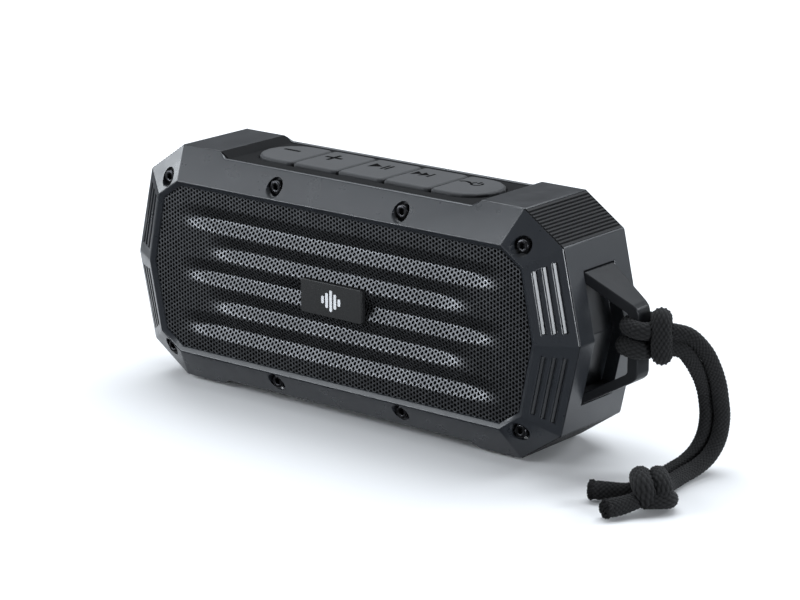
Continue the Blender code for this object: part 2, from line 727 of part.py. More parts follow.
def make_strap_loop():
    """Bent flat loop whose width narrows from the pocket to the nose."""
    def trapezoid(shift, nose_radius):
        slope = (LOOP_HALF_Z - LOOP_NOSE_HALF_Z) / (LOOP_NOSE_X - LOOP_BEND_X)
        lift = shift * math.sqrt(1 + slope * slope)
        nose_x = LOOP_NOSE_X - shift
        nose_z = LOOP_HALF_Z - slope * (nose_x - LOOP_BEND_X) - lift
        nose = [(nose_x - nose_radius, nose_z + slope * nose_radius * 0.9),
                (nose_x - nose_radius * 0.3, nose_z - nose_radius * 0.1), (nose_x, nose_z - nose_radius)]
        return [(LOOP_BASE_X, LOOP_HALF_Z - lift), (LOOP_BEND_X, LOOP_HALF_Z - lift)] + nose

    outer = trapezoid(0.0, 2.0)
    inner = trapezoid(LOOP_PLATE, 1.0)
    outline = outer + [(x, -z) for x, z in reversed(outer)]
    outline += inner_path(inner)
    mesh = flat_mesh("strap_loop", [outline], -LOOP_HALF_Y[0], LOOP_HALF_Y[0])
    for vertex in mesh.vertices:
        share = (vertex.co.x / MM - LOOP_BEND_X) / (LOOP_NOSE_X - LOOP_BEND_X)
        half = LOOP_HALF_Y[0] + (LOOP_HALF_Y[1] - LOOP_HALF_Y[0]) * max(0.0, share)
        vertex.co.y = math.copysign(half * MM, vertex.co.y)
    loop = add_object("strap_loop", mesh, SHELL)
    holes = [((86.0, 0.0, side * LOOP_SCREW_Z), (91.0, 0.0, side * LOOP_SCREW_Z),
              LOOP_SCREW_RADIUS + GAP) for side in (-1, 1)]
    boolean(loop, make_cutter("loop_holes", rods_mesh("loop_holes", holes, 10)))
    for name, side in (("loop_screw_upper", 1), ("loop_screw_lower", -1)):
        z = side * LOOP_SCREW_Z
        start, end = ((x, 0.0, z) for x in LOOP_HEAD_X)
        head = make_cutter(name + "_head", rods_mesh(name + "_head", [(start, end, LOOP_HEAD_RADIUS)], 12))
        start, end = ((x, 0.0, z) for x in LOOP_SCREW_X)
        shank = rods_mesh(name, [(start, end, LOOP_SCREW_RADIUS)], 8)
        boolean(add_object(name, shank, SCREW_STEEL), head, "UNION")


def inner_path(inner):
    """The loop's inner line, from the lower foot back to the upper one."""
    return [(x, -z) for x, z in inner] + list(reversed(inner))


# Drivers

def make_drivers():
    for side, name in ((-1, "left"), (1, "right")):
        centre = (side * DRIVER_X, 0.0, 0.0)
        turned("driver_basket_" + name, BASKET_PROFILE, MAGNET_STEEL, centre, 20)
        turned("driver_cone_" + name, CONE_PROFILE, CONE_PAPER, centre, 20)


# Rear assembly

def make_rear_cover():
    sections = [
        (RIM, PANEL_Y[0]), (RIM, REBATE_Y), (REBATE, REBATE_Y), (REBATE, SEAM_Y + GAP / 2),
        (BODY, SEAM_Y + GAP / 2), (RIM, RIM_Y), (WINDOW, BEVEL_Y), (WINDOW, PANEL_Y[1]),
    ]
    cover = add_object("rear_cover", loft_mesh("rear_cover", sections, ring=False), SHELL)
    boolean(cover, recess_cutter("rear_recess", COVER_RECESS_Z))
    bores, holes = screw_cutters("rear_screw", CORNER_SCREWS, 1, 15.0)
    boolean(cover, bores)
    boolean(cover, holes)
    boolean(cover, slot_cutter("rear_slots", 1))
    form = bmesh.new()
    for index in range(GUARD_SLOTS):
        z = (index - (GUARD_SLOTS - 1) / 2) * GUARD_PITCH
        slot = pill((0.0, z), *GUARD_SLOT, 4)
        form.from_mesh(flat_mesh("guard_slot", [slot], PANEL_Y[0] - 2, PANEL_Y[1] + 1))
    socket = pill((SOCKET_X, 0.0), *PORT_HALF, 4)
    form.from_mesh(flat_mesh("socket_slot", [socket], PANEL_Y[0] - 2, PANEL_Y[1] + 1))
    jack = circle((JACK_X, 0.0), PORT_HALF[1], 12)
    form.from_mesh(flat_mesh("jack_hole", [jack], PANEL_Y[0] - 2, PANEL_Y[1] + 1))
    boolean(cover, make_cutter("rear_openings", finish_mesh(form, "rear_openings")))


def make_radiator():
    plate = pill((0.0, 0.0), *RADIATOR, 8)
    radiator = add_object("passive_radiator", flat_mesh("passive_radiator", [plate], *RADIATOR_Y),
                          BLACK_RUBBER)
    set_origin(radiator, (0.0, sum(RADIATOR_Y) / 2, 0.0))
    outer = pill((0.0, 0.0), RADIATOR[0] + 5, RADIATOR[1] + 5, 8)
    inner = pill((0.0, 0.0), RADIATOR[0] + 1, RADIATOR[1] + 1, 8)
    add_object("radiator_surround", flat_mesh("radiator_surround", [outer, inner], *SURROUND_Y),
               BLACK_RUBBER)


def make_ports():
    flap_centre = (sum(FLAP_X) / 2, 0.0)
    outline = rounded_box(flap_centre, ((FLAP_X[1] - FLAP_X[0]) / 2, FLAP_HALF_Z), [2.0] * 4, 3)
    flap = add_object("port_flap", flat_mesh("port_flap", [outline], *FLAP_Y), BLACK_RUBBER)
    set_origin(flap, (flap_centre[0], FLAP_Y[1], -FLAP_HALF_Z))
    back, face = PORT_DEPTH_Y
    shell = pill((SOCKET_X, 0.0), *SOCKET_HALF, 4)
    socket = flat_mesh("charging_socket", [shell], back, face)
    socket = add_object("charging_socket", socket, SOCKET_STEEL)
    mouth = pill((SOCKET_X, 0.0), *(half - SOCKET_WALL for half in SOCKET_HALF), 4)
    mouth = flat_mesh("socket_mouth", [mouth], back + 4, face + 1)
    boolean(socket, make_cutter("socket_mouth", mouth))
    barrel = circle((JACK_X, 0.0), JACK_RADIUS, 12)
    jack = add_object("audio_jack", flat_mesh("audio_jack", [barrel], back, face), INNER_PLASTIC)
    bore = flat_mesh("jack_bore", [circle((JACK_X, 0.0), JACK_BORE, 10)], back + 2, face + 1)
    boolean(jack, make_cutter("jack_bore", bore))


def make_electronics():
    add_object("main_board", boxes_mesh("main_board", [MAIN_BOARD]), BOARD_GREEN)
    cell = rounded_box(CELL_CENTRE, CELL_HALF, [3.0] * 4, 2)
    add_object("battery_pack", flat_mesh("battery_pack", [cell], *CELL_Y), CELL_WRAP)


# Lanyard

def smooth_route(points, spacing):
    """Evenly spaced points on a Catmull-Rom curve through the route's own points."""
    vectors = [Vector(point) for point in points]
    vectors = [2 * vectors[0] - vectors[1]] + vectors + [2 * vectors[-1] - vectors[-2]]
    fine = []
    for a, b, c, d in zip(vectors, vectors[1:], vectors[2:], vectors[3:]):
        for step in range(20):
            t = step / 20
            fine.append(0.5 * (2 * b + (c - a) * t + (2 * a - 5 * b + 4 * c - d) * t ** 2
                               + (3 * b - a - 3 * c + d) * t ** 3))
    fine.append(vectors[-2])
    even = [fine[0]]
    travelled = 0.0
    for near, far in zip(fine, fine[1:]):
        travelled += (far - near).length
        if travelled >= spacing:
            even.append(far)
            travelled = 0.0
    if travelled > spacing / 2:
        even.append(fine[-1])
    else:
        even[-1] = fine[-1]
    return even


def strand_route(side):
    """One of the two strands: beside the run, above it at the hitch and outside it on the floor."""
    run = [Vector(point) for point in LANYARD_RUN]
    route = []
    for index, point in enumerate(run):
        ahead = run[min(index + 1, len(run) - 1)] - run[max(index - 1, 0)]
        share = min(1.0, index / 5)
        lean = Vector((0.15, 0.35, 1.0)).lerp(Vector((1.0, 0.12, 0.0)), share)
        lean -= ahead.normalized() * lean.dot(ahead.normalized())
        route.append(point + lean.normalized() * STRAND_OFFSET * side)
    return route


def tube(name, points):
    curve = bpy.data.curves.new(name, "CURVE")
    curve.dimensions = "3D"
    curve.bevel_depth = CORD_RADIUS * MM
    curve.bevel_resolution = 2
    curve.use_fill_caps = True
    spline = curve.splines.new("POLY")
    spline.points.add(len(points) - 1)
    for knot, point in zip(spline.points, points):
        knot.co = (*(Vector(point) * MM), 1.0)
    return add_object(name, curve, CORD_BRAID)


def make_lanyard():
    for name, side in (("a", 1), ("b", -1)):
        tube("lanyard_strand_" + name, smooth_route(strand_route(side)[1:], 6.0))
        tube("lanyard_tail_" + name, smooth_route(LANYARD_TAILS[name], 5.0))
    middle = (LOOP_NOSE_X - LOOP_PLATE / 2, 0.0)
    hole_half = (LOOP_PLATE / 2 + 2 * GAP, LOOP_HALF_Y[1] + HITCH_SLACK)
    hole = rounded_box(middle, hole_half, [0.5] * 4, 1)
    wrap = rounded_box(middle, [half + HITCH_THICKNESS for half in hole_half], [4.0] * 4, 3)
    mesh = flat_mesh("lanyard_hitch", [wrap, hole], *HITCH_WRAP_Z, axis="Z")
    hitch = add_object("lanyard_hitch", mesh, CORD_BRAID)
    knot = make_cutter("hitch_knot", ball_mesh("hitch_knot", HITCH_CENTRE, HITCH_HALF))
    boolean(hitch, knot, "UNION")
    add_object("lanyard_end_knot", ball_mesh("lanyard_end_knot", END_KNOT_CENTRE, END_KNOT_HALF),
               CORD_BRAID)


make_front_frame()
make_grille()
make_front_fillings()
make_seal("front_seal", -1)
make_cover_screws()
make_middle_housing()
make_grip_pads()
make_feet()
make_keys()
make_key_mat_and_board()
make_strap_loop()
make_drivers()
make_rear_cover()
make_seal("rear_seal", 1)
make_radiator()
make_ports()
make_electronics()
make_lanyard()
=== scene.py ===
"""Looks of the rugged shower speaker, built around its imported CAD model. Metres, +Z up."""
import math
import random

import bmesh
import bpy
import numpy as np
from mathutils import Matrix, Vector


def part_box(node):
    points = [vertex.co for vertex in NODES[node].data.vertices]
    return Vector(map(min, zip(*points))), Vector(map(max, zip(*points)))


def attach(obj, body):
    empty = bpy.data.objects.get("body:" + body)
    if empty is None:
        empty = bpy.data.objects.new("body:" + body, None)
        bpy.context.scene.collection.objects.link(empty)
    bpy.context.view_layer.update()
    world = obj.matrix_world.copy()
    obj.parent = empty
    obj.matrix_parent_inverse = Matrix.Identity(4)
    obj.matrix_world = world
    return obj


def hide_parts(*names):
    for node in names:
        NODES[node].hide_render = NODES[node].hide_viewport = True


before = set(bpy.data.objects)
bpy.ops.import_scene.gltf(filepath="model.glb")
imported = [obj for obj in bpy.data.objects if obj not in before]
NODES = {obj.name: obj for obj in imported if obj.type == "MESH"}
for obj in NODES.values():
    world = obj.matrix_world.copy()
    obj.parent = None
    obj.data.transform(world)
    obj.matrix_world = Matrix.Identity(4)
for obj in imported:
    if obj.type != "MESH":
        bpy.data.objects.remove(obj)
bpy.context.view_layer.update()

MM = 0.001
BODY = "speaker"


def middle_of(node):
    low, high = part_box(node)
    return (low + high) / 2


# The middle of the speaker's body, which its routes and pieces are placed from
HOUSING_MIDDLE = middle_of("middle_housing")
CORD_RADIUS = 0.0028

PAPER_TONE, TABLE_TONE = 0.86, 0.10
TABLE_DROP, TABLE_REACH = 0.0005, 4.0
COOL_WHITE = (0.90, 0.95, 1.0)


# ---------------------------------------------------------------- camera, floor and lights

def make_camera():
    """A long lens at the front right, a little above the speaker."""
    azimuth, elevation = math.radians(38.89), math.radians(15.72)
    distance = 1.00923
    target = Vector((-0.00767, 0.0135, 0.03498))
    back = Vector((math.sin(azimuth) * math.cos(elevation),
                   -math.cos(azimuth) * math.cos(elevation), math.sin(elevation)))
    data = bpy.data.cameras.new("product_camera")
    data.lens = 130.5
    camera = bpy.data.objects.new("product_camera", data)
    camera.location = target + back * distance
    camera.rotation_euler = (-back).to_track_quat("-Z", "Y").to_euler()
    bpy.context.scene.collection.objects.link(camera)
    bpy.context.scene.camera = camera


def stage_sheet(name, corners, height, tone):
    """A flat sheet under the speaker: its corners and one grey tone."""
    mesh = bpy.data.meshes.new(name)
    mesh.from_pydata([(x, y, height) for x, y in corners], [], [tuple(range(len(corners)))])
    sheet = bpy.data.objects.new(name, mesh)
    bpy.context.scene.collection.objects.link(sheet)
    paint = bpy.data.materials.new(name + "_paint")
    paint.use_nodes = True
    shader = paint.node_tree.nodes["Principled BSDF"]
    shader.inputs["Base Color"].default_value = (tone, tone, tone * 1.005, 1.0)
    shader.inputs["Roughness"].default_value = 0.9
    shader.inputs["Specular IOR Level"].default_value = 0.1
    mesh.materials.append(paint)
    return sheet


def make_floor():
    """White paper in two sheets that meet under the speaker, on a dark table."""
    seam_left, seam_right = (-0.223, -0.0245), (0.212, -0.0245)
    near = [(0.029, -0.259), (0.247, -0.083), seam_right, seam_left]
    far = [seam_right, (-0.693, 1.497), (-1.316, 0.994), seam_left]
    table = [(x * TABLE_REACH, y * TABLE_REACH) for x, y in ((-1, -1), (1, -1), (1, 1), (-1, 1))]
    front_paper = stage_sheet("front_paper", near, 0.0, PAPER_TONE)
    front_paper.visible_glossy = False
    stage_sheet("back_paper", far, 0.0, PAPER_TONE)
    stage_sheet("dark_table", table, -TABLE_DROP, TABLE_TONE)


def soft_box(name, towards, distance, size, power):
    """A cool area light that looks at the speaker from a direction."""
    data = bpy.data.lights.new(name, "AREA")
    data.shape = "RECTANGLE"
    data.size, data.size_y = size
    data.energy = power
    data.color = COOL_WHITE
    lamp = bpy.data.objects.new(name, data)
    direction = Vector(towards).normalized()
    lamp.location = direction * distance + HOUSING_MIDDLE
    lamp.rotation_euler = direction.to_track_quat("Z", "Y").to_euler()
    bpy.context.scene.collection.objects.link(lamp)


def make_lights():
    """A dim sky and eight soft boxes."""
    world = bpy.data.worlds.new("studio")
    world.use_nodes = True
    sky = world.node_tree.nodes["Background"]
    sky.inputs["Color"].default_value = (0.95, 0.97, 1.0, 1.0)
    sky.inputs["Strength"].default_value = 0.16
    bpy.context.scene.world = world
    soft_box("overhead", (-0.22, 0.42, 1.0), 2.1, (2.4, 1.7), 62.0)
    soft_box("front_left", (-0.60, -0.66, 0.42), 1.5, (0.62, 0.80), 6.2)
    soft_box("front_low", (-0.62, -0.78, 0.07), 1.6, (0.60, 0.14), 7.0)
    soft_box("front_high", (-0.38, -0.63, 0.68), 1.3, (0.20, 0.20), 1.1)
    soft_box("left_wall", (-0.956, -0.20, 0.30), 1.4, (0.5, 0.5), 6.0)
    soft_box("right_rear", (0.62, 0.75, 0.16), 1.5, (0.9, 0.5), 1.8)
    soft_box("right_rear_high", (0.49, 0.75, 0.45), 1.5, (0.26, 0.26), 5.6)
    soft_box("right_strip", (0.97, -0.20, 0.12), 1.3, (0.46, 0.30), 12.0)
    bpy.context.scene.view_settings.view_transform = "Standard"


make_camera()
make_floor()
make_lights()


# ---------------------------------------------------------------- finishes

class Finish:
    """A Principled material with the speaker's own coordinates and a few ways to add detail."""

    def __init__(self, name, colour, roughness, metallic=0.0, specular=0.5):
        self.material = bpy.data.materials.new(name)
        self.material.use_nodes = True
        self.tree = self.material.node_tree
        self.shader = self.tree.nodes["Principled BSDF"]
        self.shader.inputs["Base Color"].default_value = (*colour, 1.0)
        self.shader.inputs["Roughness"].default_value = roughness
        self.shader.inputs["Metallic"].default_value = metallic
        self.shader.inputs["Specular IOR Level"].default_value = specular
        self.colour = colour
        self.roughness = roughness
        self.place = self.tree.nodes.new("ShaderNodeTexCoord").outputs["Object"]

    def node(self, kind, **values):
        made = self.tree.nodes.new(kind)
        for key, value in values.items():
            setattr(made, key, value)
        return made

    def link(self, source, target):
        self.tree.links.new(source, target)

    def noise(self, size, detail):
        """Noise whose grains are about that size in metres."""
        made = self.node("ShaderNodeTexNoise")
        made.inputs["Scale"].default_value = 1.0 / size
        made.inputs["Detail"].default_value = detail
        self.link(self.place, made.inputs["Vector"])
        return made.outputs["Fac"]

    def spread(self, value, low, high, start=0.3, end=0.7):
        """Map a noise to a range of values."""
        made = self.node("ShaderNodeMapRange")
        made.inputs["From Min"].default_value = start
        made.inputs["From Max"].default_value = end
        made.inputs["To Min"].default_value = low
        made.inputs["To Max"].default_value = high
        self.link(value, made.inputs["Value"])
        return made.outputs["Result"]

    def shade(self, value, share):
        """Vary the colour by a share of itself where the value goes from 0.3 to 0.7."""
        ramp = self.node("ShaderNodeMix", data_type="RGBA")
        self.link(self.spread(value, 0.0, 1.0), ramp.inputs["Factor"])
        dark = [channel * (1.0 - share) for channel in self.colour]
        light = [min(1.0, channel * (1.0 + share)) for channel in self.colour]
        ramp.inputs["A"].default_value = (*dark, 1.0)
        ramp.inputs["B"].default_value = (*light, 1.0)
        self.link(ramp.outputs["Result"], self.shader.inputs["Base Color"])

    def polish(self, value, change):
        """Vary the roughness up and down by a change."""
        self.link(self.spread(value, self.roughness - change, self.roughness + change),
                  self.shader.inputs["Roughness"])

    def bump(self, height, depth, strength=1.0):
        """Give the surface a relief of that depth in metres."""
        made = self.node("ShaderNodeBump")
        made.inputs["Distance"].default_value = depth
        made.inputs["Strength"].default_value = strength
        self.link(height, made.inputs["Height"])
        self.link(made.outputs["Normal"], self.shader.inputs["Normal"])


def moulded_plastic(name, colour, roughness, specular=0.55):
    """Spark-eroded mould texture: fine even grain over a slow change of tone."""
    grain, relief = 0.00022, 0.000010
    finish = Finish(name, colour, roughness, specular=specular)
    finish.shade(finish.noise(0.018, 2.0), 0.05)
    finish.polish(finish.noise(0.006, 3.0), 0.04)
    finish.bump(finish.noise(grain, 3.0), relief, 0.8)
    return finish.material


def soft_rubber(name, colour, roughness, specular=0.35, sheen=0.08):
    """Matt rubber: soft blotches of tone, a fine grain and a little sheen."""
    grain, relief = 0.0003, 0.00002
    finish = Finish(name, colour, roughness, specular=specular)
    finish.shade(finish.noise(0.009, 3.0), 0.10)
    finish.bump(finish.noise(grain, 4.0), relief, 0.8)
    finish.shader.inputs["Sheen Weight"].default_value = sheen
    finish.shader.inputs["Sheen Roughness"].default_value = 0.4
    return finish.material


def painted_steel(name, colour, roughness):
    """Thin dark paint on pressed sheet."""
    finish = Finish(name, colour, roughness, metallic=0.75, specular=0.6)
    finish.shade(finish.noise(0.012, 3.0), 0.12)
    finish.polish(finish.noise(0.0012, 3.0), 0.06)
    finish.bump(finish.noise(0.00012, 2.0), 0.000006, 0.6)
    return finish.material


def oxide_steel(name, colour, roughness):
    """Turned steel with a blotchy oxide skin."""
    finish = Finish(name, colour, roughness, metallic=0.9)
    finish.shade(finish.noise(0.0015, 4.0), 0.25)
    finish.polish(finish.noise(0.0006, 3.0), 0.08)
    finish.bump(finish.noise(0.00015, 3.0), 0.000008, 0.7)
    return finish.material


def smooth_plastic(name, colour, roughness, coat=0.0):
    """Polished plastic with a faint ripple, under a clear coat where one is given."""
    finish = Finish(name, colour, roughness)
    finish.shade(finish.noise(0.01, 2.0), 0.06)
    finish.bump(finish.noise(0.0004, 2.0), 0.000004, 0.5)
    finish.shader.inputs["Coat Weight"].default_value = coat
    finish.shader.inputs["Coat Roughness"].default_value = 0.15
    return finish.material


def woven_cloth(name, colour):
    """Plain weave of fine threads across X and Z."""
    threads = 700.0
    finish = Finish(name, colour, 0.95, specular=0.1)
    wave_x = finish.node("ShaderNodeTexWave", bands_direction="X")
    wave_z = finish.node("ShaderNodeTexWave", bands_direction="Z")
    both = finish.node("ShaderNodeMath", operation="MULTIPLY")
    for wave, socket in ((wave_x, both.inputs[0]), (wave_z, both.inputs[1])):
        wave.inputs["Scale"].default_value = threads
        finish.link(finish.place, wave.inputs["Vector"])
        finish.link(wave.outputs["Fac"], socket)
    finish.shade(both.outputs["Value"], 0.3)
    finish.bump(both.outputs["Value"], 0.00006)
    return finish.material


def braid_yarn(name, colour):
    """Fine fibres of random tone, and painted shade from the cord's stitch heights, which the mesh itself
    carries: darker in the low gaps, lighter on the raised stitches.
    """
    fibre_share = 0.45
    finish = Finish(name, colour, 0.85, specular=0.22)
    # The stitch height drives painted shade: low gaps darker, raised tops lighter
    height = finish.node("ShaderNodeAttribute", attribute_name="stitch").outputs["Fac"]
    fibre = finish.noise(0.0007, 4.0)
    both = finish.node("ShaderNodeMath", operation="MULTIPLY_ADD")
    finish.link(fibre, both.inputs[0])
    both.inputs[1].default_value = fibre_share
    finish.link(finish.spread(height, 0.0, 0.5, 0.1, 0.9), both.inputs[2])
    finish.shade(both.outputs["Value"], 0.75)
    finish.bump(finish.noise(0.00010, 3.0), 0.00006)
    finish.shader.inputs["Sheen Weight"].default_value = 0.05
    finish.shader.inputs["Sheen Roughness"].default_value = 0.5
    return finish.material


def circuit_lacquer(name, colour):
    """Lacquer over a net of tracks."""
    tracks = 260.0
    finish = Finish(name, colour, 0.45)
    cells = finish.node("ShaderNodeTexVoronoi", feature="DISTANCE_TO_EDGE")
    cells.inputs["Scale"].default_value = tracks
    finish.link(finish.place, cells.inputs["Vector"])
    finish.shade(finish.spread(cells.outputs["Distance"], 0.0, 1.0, 0.02, 0.06), 0.3)
    finish.bump(cells.outputs["Distance"], 0.00002)
    return finish.material


SHELL = moulded_plastic("shell_plastic", (0.0205, 0.0228, 0.0270), 0.30)
LOOP = moulded_plastic("loop_plastic", (0.0110, 0.0116, 0.0132), 0.42, specular=0.20)
HOUSING = moulded_plastic("housing_plastic", (0.0190, 0.0210, 0.0245), 0.33)
# The key recess: its colour, far darker than the housing's, is painted shade; its matt finish is its own
RECESS_SHADE = soft_rubber("recess_rubber", (0.0060, 0.0062, 0.0068), 0.80, specular=0.12, sheen=0.0)
SLOT_GLOSS = smooth_plastic("slot_gloss", (0.030, 0.031, 0.033), 0.32)
PAD_RUBBER = soft_rubber("grip_rubber", (0.0090, 0.0092, 0.0100), 0.62, specular=0.25, sheen=0.03)
BLACK_RUBBER = soft_rubber("black_rubber", (0.015, 0.015, 0.016), 0.70)
KEY_RUBBER = soft_rubber("key_rubber", (0.0250, 0.0260, 0.0285), 0.58)
GRILLE_PAINT = painted_steel("grille_paint", (0.090, 0.092, 0.097), 0.33)
BADGE_BLACK = smooth_plastic("badge_black", (0.0045, 0.0047, 0.0052), 0.50)
MARK_PALE = smooth_plastic("badge_mark_pale", (0.70, 0.71, 0.73), 0.40)
# The key symbols are flush inlays whose near-black colour is painted shade, standing for recessed symbols
LEGEND_SHADE = soft_rubber("legend_dark", (0.002, 0.002, 0.0022), 0.95, specular=0.04, sheen=0.0)
SCREW_BLACK = oxide_steel("black_oxide", (0.040, 0.040, 0.043), 0.30)
CLOTH = woven_cloth("grille_cloth", (0.006, 0.006, 0.006))
INNER_PLASTIC = smooth_plastic("inner_plastic", (0.025, 0.025, 0.026), 0.55)
CONE_PAPER = soft_rubber("cone_coating", (0.020, 0.020, 0.021), 0.60)
DRIVER_STEEL = oxide_steel("driver_plate", (0.30, 0.30, 0.31), 0.38)
SOCKET_STEEL = oxide_steel("socket_plate", (0.55, 0.55, 0.56), 0.28)
BOARD = circuit_lacquer("board_lacquer", (0.020, 0.120, 0.050))
CELL_WRAP = smooth_plastic("cell_wrap", (0.050, 0.140, 0.320), 0.40, coat=0.3)
BRAID = braid_yarn("braid_yarn", (0.0075, 0.0075, 0.0079))


# ---------------------------------------------------------------- making pieces

def add_piece(name, mesh, finish, body=BODY, replaces=()):
    """Put a finished mesh in the scene, riding on its body."""
    mesh.materials.clear()
    mesh.materials.append(finish)
    piece = bpy.data.objects.new(name, mesh)
    bpy.context.scene.collection.objects.link(piece)
    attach(piece, body)
    if replaces:
        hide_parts(*replaces)
    return piece


def evaluated_mesh(item, name):
    """The mesh that an object's modifiers make."""
    bpy.context.view_layer.update()
    graph = bpy.context.evaluated_depsgraph_get()
    mesh = bpy.data.meshes.new_from_object(item.evaluated_get(graph))
    mesh.name = name
    bpy.data.objects.remove(item, do_unlink=True)
    return mesh


def bench_object(mesh):
    """A working object, which is removed again once its mesh has been read."""
    item = bpy.data.objects.new(mesh.name + "_bench", mesh)
    bpy.context.scene.collection.objects.link(item)
    return item


def mesh_of(form, name):
    """The mesh that a bmesh has built up."""
    mesh = bpy.data.meshes.new(name)
    form.to_mesh(mesh)
    form.free()
    return mesh


def facing_outward(mesh, weld=0.0):
    """Weld the corners that are nearer than a distance and turn the faces outward."""
    form = bmesh.new()
    form.from_mesh(mesh)
    if weld:
        bmesh.ops.remove_doubles(form, verts=form.verts, dist=weld)
    bmesh.ops.recalc_face_normals(form, faces=form.faces)
    form.to_mesh(mesh)
    form.free()
    return mesh


def smooth_shaded(mesh, angle=32.0):
    """Smooth shading, with the edges above an angle kept sharp."""
    mesh.shade_smooth()
    mesh.set_sharp_from_angle(angle=math.radians(angle))
    return mesh


def settled(mesh, angle=32.0):
    """Shade the rounded edges and keep the large faces flat."""
    item = bench_object(smooth_shaded(mesh, angle))
    weigh = item.modifiers.new("flat_faces", "WEIGHTED_NORMAL")
    weigh.keep_sharp = True
    return evaluated_mesh(item, mesh.name)


def flattened(form, angle):
    """Join the faces that meet at less than an angle in degrees."""
    bmesh.ops.dissolve_limit(form, angle_limit=math.radians(angle), verts=form.verts, edges=form.edges)


def welded_copy(node):
    """A CAD piece with its corners welded and its coplanar faces joined."""
    form = bmesh.new()
    form.from_mesh(NODES[node].data)
    bmesh.ops.remove_doubles(form, verts=form.verts, dist=0.002 * MM)
    flattened(form, 0.8)
    large = [face for face in form.faces if len(face.verts) > 4]
    bmesh.ops.triangulate(form, faces=large, ngon_method="EAR_CLIP")
    return form


def rounded_mesh(node, width, shortest=0.0025, segments=2):
    """A welded copy of a CAD piece whose long edges are rounded."""
    least_angle = math.radians(9.0)
    form = welded_copy(node)
    weight = form.edges.layers.float.new("bevel_weight_edge")
    for edge in form.edges:
        if len(edge.link_faces) == 2 and edge.calc_length() > shortest:
            if edge.calc_face_angle() > least_angle:
                edge[weight] = 1.0
    item = bench_object(mesh_of(form, node + "_rounded"))
    bevel = item.modifiers.new("bevel", "BEVEL")
    bevel.limit_method = "WEIGHT"
    bevel.width = width
    bevel.segments = segments
    bevel.use_clamp_overlap = False
    rounded = evaluated_mesh(item, node + "_rounded")
    form = bmesh.new()
    form.from_mesh(rounded)
    flattened(form, 0.3)
    form.to_mesh(rounded)
    form.free()
    return settled(rounded)


def rounded_piece(node, width, finish, slot, body=BODY, **options):
    """A rounded piece in the place of its CAD piece."""
    mesh = rounded_mesh(node, width, **options)
    return add_piece(node + "_shaped", mesh, finish, body, (node,))


def finish_node(node, finish):
    """Give a carried-over CAD piece its finish."""
    mesh = NODES[node].data
    mesh.materials.clear()
    mesh.materials.append(finish)


# ---------------------------------------------------------------- lanyard

# The doubled cord's middle line, from the hitch to the end knot, from the housing's middle
LANYARD_RUN = [
    (0.1189, 0.0001, 0.0031), (0.1227, 0.0053, 0.0010), (0.1241, 0.0079, -0.0017),
    (0.1251, 0.0116, -0.0069), (0.1253, 0.0153, -0.0126), (0.1250, 0.0182, -0.0187),
    (0.1254, 0.0190, -0.0241), (0.1258, 0.0182, -0.0292), (0.1259, 0.0158, -0.0338),
    (0.1256, 0.0117, -0.0374), (0.1250, 0.0058, -0.0397), (0.1248, -0.0015, -0.0404),
    (0.1263, -0.0122, -0.0402), (0.1288, -0.0199, -0.0390),
]
STRAND_OFFSET = 0.00262
# The run's first spans, over which the strands turn from one above the other to side by side
CROSSING_SPANS = 5
# Through the end knot and out as a free end, one for each strand
STRAND_ENDS = {
    "a": [(0.1336, -0.0275, -0.0376), (0.1314, -0.0346, -0.0391), (0.1298, -0.0402, -0.0396),
          (0.1279, -0.0451, -0.0396)],
    "b": [(0.1270, -0.0258, -0.0384), (0.1244, -0.0291, -0.0391), (0.1190, -0.0318, -0.0394),
          (0.1144, -0.0336, -0.0396)],
}
# The distance between a cord's rings, and how much of its radius a stitch stands out
RING_SPACING = 0.00027
STITCH_RELIEF = 0.20
# The loose fibres of a cut end: how many, and their radii at root and tip
FIBRES = 300
FIBRE_ROOT, FIBRE_TIP = 0.00034, 0.00022


def smooth_route(points, closed=False):
    """Evenly spaced points on a Catmull-Rom curve through the route's own points."""
    steps = 40
    vectors = [Vector(point) for point in points]
    if closed:
        vectors = [vectors[-1]] + vectors + vectors[:2]
    else:
        vectors = [2 * vectors[0] - vectors[1]] + vectors + [2 * vectors[-1] - vectors[-2]]
    fine = []
    for a, b, c, d in zip(vectors, vectors[1:], vectors[2:], vectors[3:]):
        for step in range(steps):
            t = step / steps
            fine.append(0.5 * (2 * b + (c - a) * t + (2 * a - 5 * b + 4 * c - d) * t ** 2
                               + (3 * b - a - 3 * c + d) * t ** 3))
    fine.append(vectors[-2].copy())
    line = np.array([tuple(point) for point in fine])
    lengths = np.concatenate([[0.0], np.cumsum(np.linalg.norm(np.diff(line, axis=0), axis=1))])
    count = max(2, round(lengths[-1] / RING_SPACING))
    places = np.linspace(0.0, lengths[-1], count + 1)
    return np.column_stack([np.interp(places, lengths, line[:, axis]) for axis in range(3)])


def strand_line(side, ends):
    """One of the two strands: above the run at the hitch and outside it on the floor."""
    stride = 24
    run = smooth_route(LANYARD_RUN)
    ahead = np.gradient(run, axis=0)
    ahead /= np.linalg.norm(ahead, axis=1)[:, None]
    spans = np.linspace(0.0, len(LANYARD_RUN) - 1, len(run))
    share = np.clip(spans / CROSSING_SPANS, 0.0, 1.0)[:, None]
    lean = np.array((0.15, 0.35, 1.0)) * (1 - share) + np.array((1.0, 0.12, 0.0)) * share
    lean -= ahead * np.sum(lean * ahead, axis=1)[:, None]
    lean /= np.linalg.norm(lean, axis=1)[:, None]
    beside = run + lean * STRAND_OFFSET * side
    return smooth_route([tuple(point) for point in beside[::stride]] + ends)


